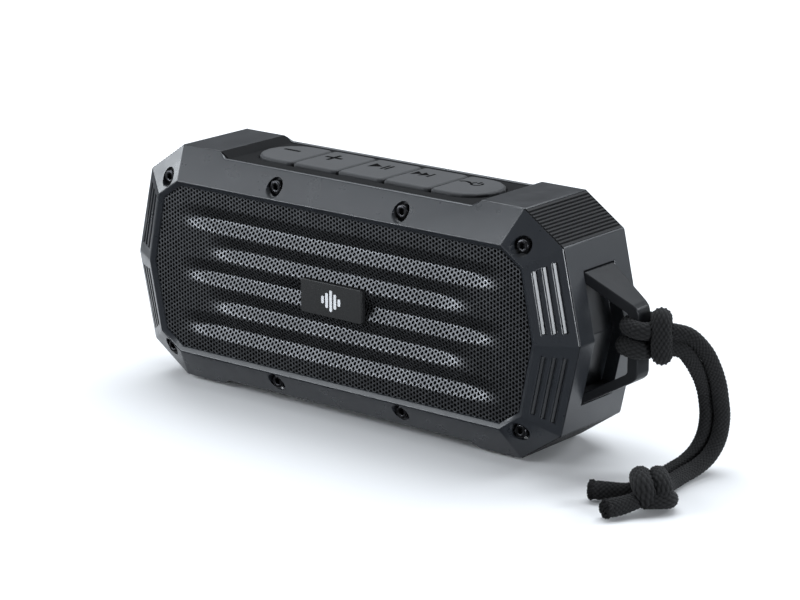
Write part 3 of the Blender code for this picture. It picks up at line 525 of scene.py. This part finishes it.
def side_directions(line, closed):
    """Two directions across a line at each of its points, carried along without twisting."""
    ahead = np.gradient(line, axis=0)
    if closed:
        ahead[0] = ahead[-1] = line[1] - line[-2]
    ahead /= np.linalg.norm(ahead, axis=1)[:, None]
    sides = np.zeros_like(line)
    start = np.cross(ahead[0], (0.0, 0.0, 1.0))
    sides[0] = start / np.linalg.norm(start)
    for index in range(1, len(line)):
        side = sides[index - 1] - ahead[index] * np.dot(sides[index - 1], ahead[index])
        sides[index] = side / np.linalg.norm(side)
    return sides, np.cross(ahead, sides)


def stitch_heights(share, turns, stitches):
    """The height of a braid's surface, where two sets of yarns pass over and under each other."""
    one = share[None, :] * stitches + turns[:, None]
    two = share[None, :] * stitches - turns[:, None]
    over = (np.floor(one) + np.floor(two)) % 2 == 0
    part_one, part_two = one - np.floor(one), two - np.floor(two)
    across = np.where(over, part_one, part_two)
    along = np.where(over, part_two, part_one)
    return np.sqrt(np.sin(math.pi * across)) * (0.45 + 0.55 * np.sin(math.pi * along))


def tube_faces(count, around, closed):
    """The faces between a tube's rings, and fans about two last points where its ends are open."""
    faces = []
    for ring in range(count if closed else count - 1):
        near, far = ring * around, (ring + 1) % count * around
        for step in range(around):
            after = (step + 1) % around
            faces.append((near + step, near + after, far + after, far + step))
    if not closed:
        last = (count - 1) * around
        for step in range(around):
            after = (step + 1) % around
            faces.append((count * around, after, step))
            faces.append((count * around + 1, last + step, last + after))
    return faces


def braided_mesh(name, line, radius, stitches=12, closed=False, swell=None):
    """A tube along a line whose surface is raised into the crossing stitches of a braid."""
    points_each, stretch = 5, 1.15
    around = stitches * points_each
    sides, ups = side_directions(line, closed)
    steps = np.linalg.norm(np.diff(line, axis=0), axis=1)
    travelled = np.concatenate([[0.0], np.cumsum(steps)])
    pitch = 2 * math.pi * radius / stitches * stretch
    turns = travelled / pitch
    twist = 0.0
    if closed:
        turns *= round(turns[-1]) / turns[-1]
        twist = math.atan2(np.dot(sides[0], ups[-1]), np.dot(sides[0], sides[-1]))
    share = np.arange(around) / around
    height = stitch_heights(share, turns, stitches)
    widths = radius * (1.0 - STITCH_RELIEF + STITCH_RELIEF * height)
    if swell is not None:
        widths = widths * swell(travelled / travelled[-1])[:, None]
    spin = 2 * math.pi * share[None, :] + (twist * travelled / travelled[-1])[:, None]
    rings = (line[:, None, :] + widths[:, :, None]
             * (np.cos(spin)[:, :, None] * sides[:, None, :] + np.sin(spin)[:, :, None] * ups[:, None, :]))
    if closed:
        rings = rings[:-1]
    points = [tuple(point) for point in rings.reshape(-1, 3)]
    heights = height[:len(rings)].reshape(-1)
    if not closed:
        points += [tuple(line[0]), tuple(line[-1])]
        heights = np.concatenate([heights, (0.3, 0.3)])
    mesh = bpy.data.meshes.new(name)
    mesh.from_pydata(points, [], tube_faces(len(rings), around, closed))
    facing_outward(mesh)
    # The heights go with the mesh for the yarn's painted shade, darker in the gaps between stitches
    stitch = mesh.attributes.new("stitch", "FLOAT", "POINT")
    stitch.data.foreach_set("value", heights.astype(np.float32))
    mesh.shade_smooth()
    return mesh


def joined_mesh(name, meshes):
    """Several meshes in one."""
    form = bmesh.new()
    for mesh in meshes:
        form.from_mesh(mesh)
    joined = mesh_of(form, name)
    joined.shade_smooth()
    return joined


def loop_line(centre, across, up, half_across, half_up, squareness):
    """A closed oval line about a centre, in the plane of two directions."""
    across, up = Vector(across).normalized(), Vector(up).normalized()
    corners = 16
    points = []
    for step in range(corners):
        angle = 2 * math.pi * step / corners
        bulge = 1.0 + squareness * math.sin(2 * angle) ** 2
        points.append(Vector(centre) + across * math.cos(angle) * half_across * bulge
                      + up * math.sin(angle) * half_up * bulge)
    return smooth_route(points, closed=True)


def placed(line):
    """A line about the housing's middle, moved into the speaker's place."""
    return line + np.array(HOUSING_MIDDLE)


def frayed_mesh(name, tip, direction, seed):
    """Short loose fibres standing out of a cut end of the cord."""
    form = bmesh.new()
    chance = random.Random(seed)
    radius = CORD_RADIUS * 1.1
    direction = Vector(direction).normalized()
    side = direction.orthogonal().normalized()
    other = direction.cross(side)
    for _ in range(FIBRES):
        angle = chance.uniform(0.0, 2 * math.pi)
        reach = radius * math.sqrt(chance.random()) * 0.80
        out = side * math.cos(angle) + other * math.sin(angle)
        root = Vector(tip) + out * reach - direction * 0.0009
        aim = (direction + out * chance.uniform(0.1, 0.9) * reach / radius
               + side * chance.uniform(-0.3, 0.3)).normalized()
        length = chance.uniform(0.0013, 0.0022) * (1.2 - 0.4 * (reach / radius) ** 2)
        turn = aim.to_track_quat("Z", "Y").to_matrix().to_4x4()
        bmesh.ops.create_cone(
            form, cap_ends=True, segments=6, radius1=FIBRE_ROOT, radius2=FIBRE_TIP, depth=length,
            matrix=Matrix.Translation(root + aim * length / 2) @ turn)
    mesh = mesh_of(form, name)
    # A middling height gives the loose fibres the yarn's painted shade, halfway between gap and top
    stitch = mesh.attributes.new("stitch", "FLOAT", "POINT")
    stitch.data.foreach_set("value", [0.55] * len(mesh.vertices))
    return smooth_shaded(mesh)


def make_hitch():
    """Two turns round the loop's nose bar, and the band that binds them."""
    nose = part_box("strap_loop")[1].x - HOUSING_MIDDLE.x
    turns = [loop_line((nose - 0.0011 + shift, 0.0, height), (1, 0, -0.10), (0, 1, 0),
                       0.0042, 0.0056, 0.12)
             for height, shift in ((-0.0009, -0.0002), (0.0058, 0.0012))]
    band = loop_line((nose + 0.0066, 0.0002, 0.0034), (0.55, -0.83, 0.0), (-0.10, 0.10, 1.0),
                     0.0031, 0.0058, 0.06)
    meshes = [braided_mesh("turn", placed(line), 0.0030, closed=True) for line in turns]
    meshes.append(braided_mesh("band", placed(band), 0.0036, stitches=14, closed=True))
    return add_piece("lanyard_hitch_turns", joined_mesh("hitch_turns", meshes), BRAID,
                     replaces=("lanyard_hitch",))


def make_end_knot():
    """Two turns round the strands, side by side, and a crossing turn under them."""
    knot = middle_of("lanyard_end_knot") - HOUSING_MIDDLE
    beside, forward, up = Vector((0.778, 0.628, 0.0)), Vector((0.628, -0.778, 0.0)), Vector((0, 0, 1))

    def knot_turn(offset, across, rise, half_across, half_rise):
        centre = knot + (beside * offset[0] + forward * offset[1] + up * offset[2]) * MM
        return loop_line(centre, across, rise, half_across * MM, half_rise * MM, 0.08)

    lines = [
        knot_turn((-3.3, 0.6, 0.6), forward, up + beside * -0.32, 5.0, 2.9),
        knot_turn((1.9, -0.2, 0.5), forward + beside * 0.10, up + beside * -0.10, 4.8, 3.2),
        knot_turn((0.6, 2.4, -2.5), beside, forward + up * 0.25, 4.0, 3.4),
    ]
    meshes = [braided_mesh("knot", placed(line), radius, closed=True)
              for line, radius in zip(lines, (0.0037, 0.0033, 0.0030))]
    return add_piece("lanyard_knot_turns", joined_mesh("knot_turns", meshes), BRAID,
                     replaces=("lanyard_end_knot",))


def fuller_end(share):
    """How the cord swells before its cut end and closes in at the tip."""
    swelling = 0.14 * np.clip((share - 0.90) / 0.08, 0.0, 1.0)
    closing = 0.30 * np.clip((share - 0.98) / 0.02, 0.0, 1.0) ** 2
    return 1.0 + swelling - closing


def make_lanyard():
    """The hitch, the end knot and the two strands with their frayed ends."""
    hitch = make_hitch()
    end_knot = make_end_knot()
    for name, side in (("a", 1), ("b", -1)):
        line = placed(strand_line(side, STRAND_ENDS[name]))
        mesh = braided_mesh("cord_" + name, line, CORD_RADIUS, swell=fuller_end)
        strand = add_piece("lanyard_cord_" + name, mesh, BRAID,
                           replaces=("lanyard_strand_" + name, "lanyard_tail_" + name))
        tip = frayed_mesh("fray_" + name, line[-1], line[-1] - line[-8], seed=11 + side)
        fray = add_piece("lanyard_fray_" + name, tip, BRAID)


make_lanyard()


# ---------------------------------------------------------------- shells

# The floor of the key recess, coloured darker as painted shade: how far it lies below the housing's top,
# and half its length
RECESS_LEAST, RECESS_MOST = 0.0001, 0.0025
RECESS_REACH = 0.0568


def make_shells():
    """The covers, the housing with painted shade on its key recess, the loop, the grip pads and the feet.
    """
    rounded_piece("front_frame", 0.00045, SHELL, "shell_plastic")
    rounded_piece("rear_cover", 0.00045, SHELL, "shell_plastic")
    housing = rounded_piece("middle_housing", 0.00040, HOUSING, "housing_plastic")
    housing.data.materials.append(RECESS_SHADE)
    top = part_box("middle_housing")[1].z
    # Faces sunk just below the housing's top near its middle take the recess's painted shade
    for face in housing.data.polygons:
        sunk, off = top - face.center.z, abs(face.center.x - HOUSING_MIDDLE.x)
        if RECESS_LEAST < sunk < RECESS_MOST and off < RECESS_REACH:
            face.material_index = 1
    rounded_piece("strap_loop", 0.00050, LOOP, "shell_plastic", shortest=0.0012, segments=3)
    for corner in ("upper_left", "upper_right", "lower_left", "lower_right"):
        rounded_piece("grip_pad_" + corner, 0.00013, PAD_RUBBER, "black_rubber", segments=1)
    for side in ("left", "right"):
        rounded_piece("foot_" + side, 0.00025, BLACK_RUBBER, "black_rubber", shortest=0.0005)


# A slot liner's section in millimetres: across the slot, and out of the facet
SLOT_SECTION = ((-0.62, -0.16), (0.34, -0.60), (0.30, -0.72), (-0.62, -0.30))
# A side facet about the housing's middle: the upper and lower end of its outer and its inner edge
FACET_OUTER = ((0.0900, 0.0168, 0.0315), (0.0970, 0.0168, 0.0))
FACET_INNER = ((0.0795, 0.0248, 0.0249), (0.0845, 0.0248, 0.0))
# The three slots' shares of the way between those edges, and where each starts and ends
SLOT_SHARES = (0.26, 0.50, 0.74)
SLOT_START, SLOT_END = 0.105, 0.855


def slot_liner(form, start, end, out, outward):
    """The glossy bottom of a moulded slot: a thin slab that is highest on its inner side."""
    along = (end - start).normalized()
    out = (out - along * out.dot(along)).normalized()
    side = (outward - along * outward.dot(along) - out * outward.dot(out)).normalized()
    outline = [side * across * MM + out * rise * MM for across, rise in SLOT_SECTION]
    loops = [[form.verts.new(place + point) for point in outline] for place in (start, end)]
    for step in range(4):
        after = (step + 1) % 4
        form.faces.new((loops[0][step], loops[0][after], loops[1][after], loops[1][step]))
    for loop in loops:
        form.faces.new(loop)


def make_slot_liners():
    """Three slots on each of the four side facets of both covers, parallel to their outer edges."""
    middle = HOUSING_MIDDLE
    for name, facing in (("front_slot_liners", -1), ("rear_slot_liners", 1)):
        form = bmesh.new()
        for sx, sz in ((-1, 1), (1, 1), (-1, -1), (1, -1)):
            outer_a, outer_b, inner_a, inner_b = (
                Vector((x * sx, y * facing, z * sz)) for x, y, z in FACET_OUTER + FACET_INNER)
            out = (outer_b - outer_a).cross(inner_a - outer_a) * sx * sz * facing
            for share in SLOT_SHARES:
                high, low = outer_a.lerp(inner_a, share), outer_b.lerp(inner_b, share)
                start, end = high.lerp(low, SLOT_START), high.lerp(low, SLOT_END)
                slot_liner(form, start + middle, end + middle, out, outer_a - inner_a)
        bmesh.ops.recalc_face_normals(form, faces=form.faces)
        add_piece(name, smooth_shaded(mesh_of(form, name), 40.0), SLOT_GLOSS)


# ---------------------------------------------------------------- grille

FACING_FRONT = Matrix.Rotation(math.radians(90), 4, "X")
FACING_UP = Matrix.Identity(4)


class Tree:
    """A Geometry Nodes tree with named inputs, read out by name."""

    def __init__(self, name, inputs):
        self.tree = bpy.data.node_groups.new(name, "GeometryNodeTree")
        interface = self.tree.interface
        interface.new_socket("Geometry", in_out="OUTPUT", socket_type="NodeSocketGeometry")
        self.values = {}
        for label, (kind, value) in inputs.items():
            socket = interface.new_socket(label, in_out="INPUT", socket_type=kind)
            if kind != "NodeSocketGeometry":
                self.values[socket.identifier] = value
        self.entry = self.tree.nodes.new("NodeGroupInput").outputs
        self.exit = self.tree.nodes.new("NodeGroupOutput").inputs

    def add(self, kind, links=None, **values):
        made = self.tree.nodes.new(kind)
        for key, value in values.items():
            setattr(made, key, value)
        for socket, source in (links or {}).items():
            target = made.inputs[socket]
            if isinstance(source, bpy.types.NodeSocket):
                self.tree.links.new(source, target)
            else:
                target.default_value = source
        return made

    def math(self, operation, *values):
        made = self.tree.nodes.new("ShaderNodeMath")
        made.operation = operation
        for socket, value in zip(made.inputs, values):
            if isinstance(value, bpy.types.NodeSocket):
                self.tree.links.new(value, socket)
            else:
                socket.default_value = value
        return made.outputs[0]

    def eased(self, value):
        """Zero below 0, one above 1 and a smooth S between."""
        made = self.tree.nodes.new("ShaderNodeMapRange")
        made.interpolation_type = "SMOOTHSTEP"
        self.tree.links.new(value, made.inputs["Value"])
        return made.outputs["Result"]

    def mesh(self, name, start=None):
        """Run the tree on a mesh, or on an empty one, and return the mesh that it makes."""
        item = bench_object(start or bpy.data.meshes.new(name))
        run = item.modifiers.new(name, "NODES")
        run.node_group = self.tree
        for identifier, value in self.values.items():
            run[identifier] = value
        return evaluated_mesh(item, name)


# The grille window's slanted edges: their shares of the width and of the height, and the corner's reach
CORNER_ACROSS, CORNER_UP, CORNER_REACH = 0.559, 0.829, 0.06527
SIDE_ACROSS, SIDE_UP = 0.980, 0.197


def grille_tree():
    """A pressed sheet of staggered holes, cut to the ten-sided window of the front frame."""
    number = "NodeSocketFloat"
    tree = Tree("perforated_sheet", {
        "Hole Pitch": (number, 0.00153), "Web": (number, 0.00045), "Sheet": (number, 0.0005),
        "Half Width": (number, 0.0845), "Half Height": (number, 0.0309), "Edge": (number, 0.00095),
        "Groove Pitch": (number, 0.0096), "Groove Half Width": (number, 0.0047),
        "Groove Depth": (number, 0.0019), "Long Groove": (number, 0.073),
        "Short Groove": (number, 0.061), "Run Out": (number, 0.022),
        "Paint": ("NodeSocketMaterial", GRILLE_PAINT),
    })
    use = tree.entry
    pitch = use["Hole Pitch"]
    column = tree.math("MULTIPLY", pitch, math.sqrt(3) / 2)
    columns, rows = 129, 43
    grid = tree.add("GeometryNodeMeshGrid", {
        "Size X": tree.math("MULTIPLY", column, float(columns - 1)),
        "Size Y": tree.math("MULTIPLY", pitch, float(rows - 1)),
        "Vertices X": columns, "Vertices Y": rows})
    place = tree.add("ShaderNodeSeparateXYZ", {0: tree.add("GeometryNodeInputPosition").outputs[0]})
    number_of = tree.math("ROUND", tree.math("DIVIDE", place.outputs["X"], column))
    odd = tree.math("ABSOLUTE", tree.math("MODULO", number_of, 2.0))
    half_step = tree.math("MULTIPLY", tree.math("MULTIPLY", odd, pitch), 0.5)
    shift = tree.add("ShaderNodeCombineXYZ", {"Y": half_step})
    staggered = tree.add("GeometryNodeSetPosition", {
        "Geometry": grid.outputs["Mesh"], "Offset": shift.outputs[0]})

    # Keep the cells whose middles lie inside the window's ten sides
    width = tree.math("ABSOLUTE", place.outputs["X"])
    height = tree.math("ABSOLUTE", place.outputs["Y"])
    top = tree.math("SUBTRACT", use["Half Height"], height)
    corner = tree.math("SUBTRACT", CORNER_REACH, tree.math(
        "ADD", tree.math("MULTIPLY", width, CORNER_ACROSS), tree.math("MULTIPLY", height, CORNER_UP)))
    side = tree.math("SUBTRACT", tree.math("MULTIPLY", use["Half Width"], SIDE_ACROSS), tree.math(
        "ADD", tree.math("MULTIPLY", width, SIDE_ACROSS), tree.math("MULTIPLY", height, SIDE_UP)))
    nearest = tree.math("MINIMUM", top, tree.math("MINIMUM", corner, side))
    kept = tree.add("GeometryNodeDeleteGeometry", {
        "Geometry": staggered.outputs[0],
        "Selection": tree.math("LESS_THAN", nearest, use["Edge"])}, domain="POINT")

    # One six-sided cell with its hole
    outer = tree.math("DIVIDE", pitch, math.sqrt(3))
    hole = tree.math("DIVIDE", tree.math("SUBTRACT", pitch, use["Web"]), pitch)
    hexagon = tree.add("GeometryNodeMeshCircle", {"Vertices": 6, "Radius": outer}, fill_type="NGON")
    raised = tree.add("GeometryNodeExtrudeMesh", {
        "Mesh": hexagon.outputs[0], "Offset Scale": 0.0, "Individual": True}, mode="FACES")
    narrowed = tree.add("GeometryNodeScaleElements", {
        "Geometry": raised.outputs["Mesh"], "Selection": raised.outputs["Top"], "Scale": hole})
    cell = tree.add("GeometryNodeDeleteGeometry", {
        "Geometry": narrowed.outputs[0], "Selection": raised.outputs["Top"]}, domain="FACE")
    cells = tree.add("GeometryNodeInstanceOnPoints", {
        "Points": kept.outputs[0], "Instance": cell.outputs[0]})
    sheet = tree.add("GeometryNodeMergeByDistance", {
        "Geometry": tree.add("GeometryNodeRealizeInstances", {0: cells.outputs[0]}).outputs[0],
        "Distance": 0.00002})

    # Press the grooves in
    here = tree.add("ShaderNodeSeparateXYZ", {0: tree.add("GeometryNodeInputPosition").outputs[0]})
    wide = tree.math("ABSOLUTE", here.outputs["X"])
    depth = 0.0
    for index in range(-2, 3):
        reach = use["Long Groove"] if index % 2 == 0 else use["Short Groove"]
        centre = tree.math("MULTIPLY", use["Groove Pitch"], float(index))
        off = tree.math("ABSOLUTE", tree.math("SUBTRACT", here.outputs["Y"], centre))
        across = tree.math("SUBTRACT", 1.0, tree.math("DIVIDE", off, use["Groove Half Width"]))
        along = tree.math("DIVIDE", tree.math("SUBTRACT", reach, wide), use["Run Out"])
        press = tree.math("MULTIPLY", tree.eased(across), tree.eased(along))
        depth = tree.math("MAXIMUM", depth, press)
    pressed = tree.add("ShaderNodeCombineXYZ", {
        "Z": tree.math("MULTIPLY", tree.math("MULTIPLY", depth, use["Groove Depth"]), -1.0)})
    formed = tree.add("GeometryNodeSetPosition", {
        "Geometry": sheet.outputs[0], "Offset": pressed.outputs[0]})

    # Give the sheet its thickness
    back = tree.add("GeometryNodeExtrudeMesh", {
        "Mesh": formed.outputs[0], "Offset": (0.0, 0.0, -1.0), "Offset Scale": use["Sheet"],
        "Individual": False}, mode="FACES")
    turned = tree.add("GeometryNodeFlipFaces", {0: formed.outputs[0]})
    both = tree.add("GeometryNodeJoinGeometry")
    tree.tree.links.new(back.outputs["Mesh"], both.inputs[0])
    tree.tree.links.new(turned.outputs[0], both.inputs[0])
    solid = tree.add("GeometryNodeMergeByDistance", {"Geometry": both.outputs[0], "Distance": 0.000002})
    painted = tree.add("GeometryNodeSetMaterial", {"Geometry": solid.outputs[0], "Material": use["Paint"]})
    tree.tree.links.new(painted.outputs[0], tree.exit[0])
    return tree


def make_grille():
    """The sheet stood up in the front frame's window."""
    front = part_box("grille")[0].y
    mesh = grille_tree().mesh("grille_sheet")
    mesh.transform(Matrix.Translation((HOUSING_MIDDLE.x, front, HOUSING_MIDDLE.z)) @ FACING_FRONT)
    add_piece("grille_perforated", facing_outward(mesh), GRILLE_PAINT,
              replaces=("grille",))


# ---------------------------------------------------------------- badge

def extruded(name, outlines, low, high, turn, origin):
    """Flat outlines given thickness, then turned and moved into place."""
    curve = bpy.data.curves.new(name, "CURVE")
    curve.dimensions = "2D"
    curve.fill_mode = "BOTH"
    curve.extrude = (high - low) / 2
    for outline in outlines:
        spline = curve.splines.new("POLY")
        spline.points.add(len(outline) - 1)
        for point, (across, up) in zip(spline.points, outline):
            point.co = (across, up, 0.0, 1.0)
        spline.use_cyclic_u = True
    item = bpy.data.objects.new(name, curve)
    bpy.context.scene.collection.objects.link(item)
    mesh = evaluated_mesh(item, name)
    mesh.transform(Matrix.Translation(origin) @ turn @ Matrix.Translation((0, 0, (low + high) / 2)))
    return facing_outward(mesh, weld=1e-7)


def arc(centre, radius, start, end, steps):
    """Points on an arc between two angles in degrees."""
    points = []
    for step in range(steps + 1):
        angle = math.radians(start + (end - start) * step / steps)
        points.append((centre[0] + radius * math.cos(angle), centre[1] + radius * math.sin(angle)))
    return points


def bar(centre, half_width, half_height, radius):
    """Upright bar with rounded corners."""
    points = []
    for index, (sx, sy) in enumerate(((1, 1), (-1, 1), (-1, -1), (1, -1))):
        corner = (centre[0] + sx * (half_width - radius), centre[1] + sy * (half_height - radius))
        points += arc(corner, radius, 90 * index, 90 * index + 90, 3)
    return points


def make_badge():
    """The badge plate and its mark, five sound-level bars that just stand out of it."""
    rounded_piece("badge", 0.00035, BADGE_BLACK, "badge", shortest=0.0001, segments=3)
    low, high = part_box("badge")
    middle = (low + high) / 2
    bars = [bar((offset * MM, 0.0), 0.55 * MM, height * MM, 0.4 * MM)
            for offset, height in ((-3.6, 1.3), (-1.8, 2.6), (0.0, 3.7), (1.8, 2.6), (3.6, 1.3))]
    mesh = extruded("badge_mark", bars, 0.0, 0.00012, FACING_FRONT, (middle.x, low.y, middle.z))
    add_piece("badge_mark", mesh, MARK_PALE)


# ---------------------------------------------------------------- keys

# How much larger the key symbols are than they are drawn, and where they lie on a key
LEGEND_WIDER, LEGEND_TALLER = 1.25, 1.3
LEGEND_BACK, LEGEND_SUNK, LEGEND_RAISED = 0.0030, 0.0002, 0.00003


def triangle(tip, base, half):
    """A triangle that points along the key."""
    return [(tip, 0.0), (base, half), (base, -half)]


def key_legends():
    """Generic symbols in millimetres about their middles, and each one's shift along its key."""
    minus = [bar((0, 0), 2.9, 0.55, 0.3)]
    plus = [[(2.9, 0.55), (0.55, 0.55), (0.55, 2.9), (-0.55, 2.9), (-0.55, 0.55), (-2.9, 0.55),
             (-2.9, -0.55), (-0.55, -0.55), (-0.55, -2.9), (0.55, -2.9), (0.55, -0.55), (2.9, -0.55)]]
    play = [triangle(0.4, -3.2, 2.1), bar((1.5, 0), 0.4, 2.1, 0.2), bar((2.9, 0), 0.4, 2.1, 0.2)]
    following = [triangle(-0.2, -2.8, 1.9), triangle(2.4, -0.2, 1.9), bar((2.9, 0), 0.35, 1.9, 0.2)]
    ring = arc((1.7, 0), 1.9, 125, 415, 20) + arc((1.7, 0), 1.2, 415, 125, 20)
    phone = arc((-2.3, -1.4), 2.5, 30, 150, 12) + arc((-2.3, -1.0), 1.3, 150, 30, 12)
    power = [ring, bar((1.7, 1.2), 0.35, 1.0, 0.2), phone]
    return {"volume_down": (minus, -0.0015), "volume_up": (plus, -0.0030), "play": (play, -0.0020),
            "next": (following, -0.0040), "power": (power, -0.0035)}


def make_keys():
    """The five keys and their symbols: flush inlays whose dark colour is painted shade."""
    for name, (outlines, shift) in key_legends().items():
        body = "key_" + name
        rounded_piece(body, 0.00030, KEY_RUBBER, "key_rubber", body=body, shortest=0.0004)
        low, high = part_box(body)
        shapes = [[(x * MM * LEGEND_WIDER, y * MM * LEGEND_TALLER) for x, y in outline]
                  for outline in outlines]
        origin = ((low.x + high.x) / 2 + shift, (low.y + high.y) / 2 + LEGEND_BACK, high.z)
        mesh = extruded("legend_" + name, shapes, -LEGEND_SUNK, LEGEND_RAISED, FACING_UP, origin)
        # Each symbol takes the painted shade
        add_piece("legend_" + name, mesh, LEGEND_SHADE, body=body)


# ---------------------------------------------------------------- screws

HEAD_HEIGHT = 0.0024
SHANK_RADIUS = 0.00125
SOCKET_RADIUS = 0.00118
KNURL_SHARE = 0.045


def cap_screw_mesh(head_radius, shank):
    """A knurled socket cap screw with its head up, the end of its shank at the origin."""
    sides = 36

    def ring(radius, height, knurl=0.0):
        return [((radius - knurl * (step % 2)) * math.cos(2 * math.pi * step / sides),
                 (radius - knurl * (step % 2)) * math.sin(2 * math.pi * step / sides), height)
                for step in range(sides)]

    def hexagon(radius, height):
        points = []
        for step in range(sides):
            angle = 2 * math.pi * step / sides
            away = (angle + math.pi / 6) % (math.pi / 3) - math.pi / 6
            reach = radius * math.cos(math.pi / 6) / math.cos(away)
            points.append((reach * math.cos(angle), reach * math.sin(angle), height))
        return points

    wide, tall, socket = head_radius, HEAD_HEIGHT, SOCKET_RADIUS
    knurl = wide * KNURL_SHARE
    loops = [
        ring(SHANK_RADIUS, -shank), ring(SHANK_RADIUS, 0.0), ring(wide * 0.97, 0.0),
        ring(wide, tall * 0.06, knurl), ring(wide, tall * 0.80, knurl),
        ring(wide * 0.985, tall * 0.86), ring(wide * 0.95, tall * 0.95),
        ring(wide * 0.88, tall), ring(socket * 1.18, tall), hexagon(socket * 1.04, tall * 0.97),
        hexagon(socket, tall * 0.90), hexagon(socket, tall - socket * 1.1),
    ]
    form = bmesh.new()
    made = [[form.verts.new(point) for point in loop] for loop in loops]
    for near, far in zip(made, made[1:]):
        for step in range(sides):
            after = (step + 1) % sides
            form.faces.new((near[step], near[after], far[after], far[step]))
    form.faces.new(list(reversed(made[0])))
    form.faces.new(made[-1])
    bmesh.ops.recalc_face_normals(form, faces=form.faces)
    mesh = mesh_of(form, "cap_screw")
    mesh.transform(Matrix.Translation((0.0, 0.0, shank)))
    return mesh


def screw_tree(name, pattern, turn):
    """One screw on each point of a mesh, turned about X."""
    tree = Tree(name, {
        "Points": ("NodeSocketGeometry", None), "Screw": ("NodeSocketObject", pattern),
        "Finish": ("NodeSocketMaterial", SCREW_BLACK),
    })
    screw = tree.add("GeometryNodeObjectInfo", {"Object": tree.entry["Screw"]})
    spread = tree.add("GeometryNodeInstanceOnPoints", {
        "Points": tree.entry["Points"], "Instance": screw.outputs["Geometry"],
        "Rotation": (turn, 0.0, 0.0)})
    real = tree.add("GeometryNodeRealizeInstances", {"Geometry": spread.outputs[0]})
    painted = tree.add("GeometryNodeSetMaterial", {
        "Geometry": real.outputs[0], "Material": tree.entry["Finish"]})
    tree.tree.links.new(painted.outputs[0], tree.exit[0])
    return tree


def set_of_screws(name, nodes, facing, pattern):
    """Instances of one screw, a point for each CAD screw, made real as one mesh."""
    places = []
    for node in nodes:
        low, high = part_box(node)
        shank_end = high.y if facing < 0 else low.y
        places.append(((low.x + high.x) / 2, shank_end, (low.z + high.z) / 2))
    points = bpy.data.meshes.new(name + "_points")
    points.from_pydata(places, [], [])
    tree = screw_tree(name, pattern, math.radians(90 if facing < 0 else -90))
    mesh = settled(tree.mesh(name, points), 40.0)
    add_piece(name, mesh, SCREW_BLACK, replaces=nodes)


def make_screws():
    """The screws' points are the ends of their shanks, so each pattern stands on its shank's end."""
    low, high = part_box("front_screw_1")
    head_radius = (high.x - low.x) / 2
    groups = [
        ("front_middle_screws", [f"front_screw_{i}" for i in range(1, 5)], -1),
        ("front_corner_screws", [f"front_screw_{i}" for i in range(5, 9)], -1),
        ("rear_corner_screws", [f"rear_screw_{i}" for i in range(1, 5)], 1),
    ]
    for name, nodes, facing in groups:
        low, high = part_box(nodes[0])
        pattern = bench_object(cap_screw_mesh(head_radius, high.y - low.y - HEAD_HEIGHT))
        set_of_screws(name, nodes, facing, pattern)
        bpy.data.objects.remove(pattern, do_unlink=True)


# ---------------------------------------------------------------- rear and inside

def make_rear_and_inside():
    """The flap and the radiator, and the finishes of the pieces that stay as the CAD made them."""
    rounded_piece("port_flap", 0.00030, BLACK_RUBBER, "black_rubber", body="flap", shortest=0.0004)
    rounded_piece("passive_radiator", 0.00050, BLACK_RUBBER, "black_rubber", body="radiator",
                  shortest=0.0004)
    finishes = {
        "grille_cloth": CLOTH, "baffle": INNER_PLASTIC, "front_seal": BLACK_RUBBER,
        "rear_seal": BLACK_RUBBER, "key_mat": BLACK_RUBBER, "button_board": BOARD, "main_board": BOARD,
        "driver_basket_left": DRIVER_STEEL, "driver_basket_right": DRIVER_STEEL,
        "driver_cone_left": CONE_PAPER, "driver_cone_right": CONE_PAPER,
        "radiator_surround": BLACK_RUBBER, "battery_pack": CELL_WRAP, "charging_socket": SOCKET_STEEL,
        "audio_jack": INNER_PLASTIC, "loop_screw_upper": SCREW_BLACK, "loop_screw_lower": SCREW_BLACK,
    }
    for name in key_legends():
        finishes["switch_" + name] = INNER_PLASTIC
    for node, finish in finishes.items():
        finish_node(node, finish)


make_shells()
make_slot_liners()
make_grille()
make_badge()
make_keys()
make_screws()
make_rear_and_inside()
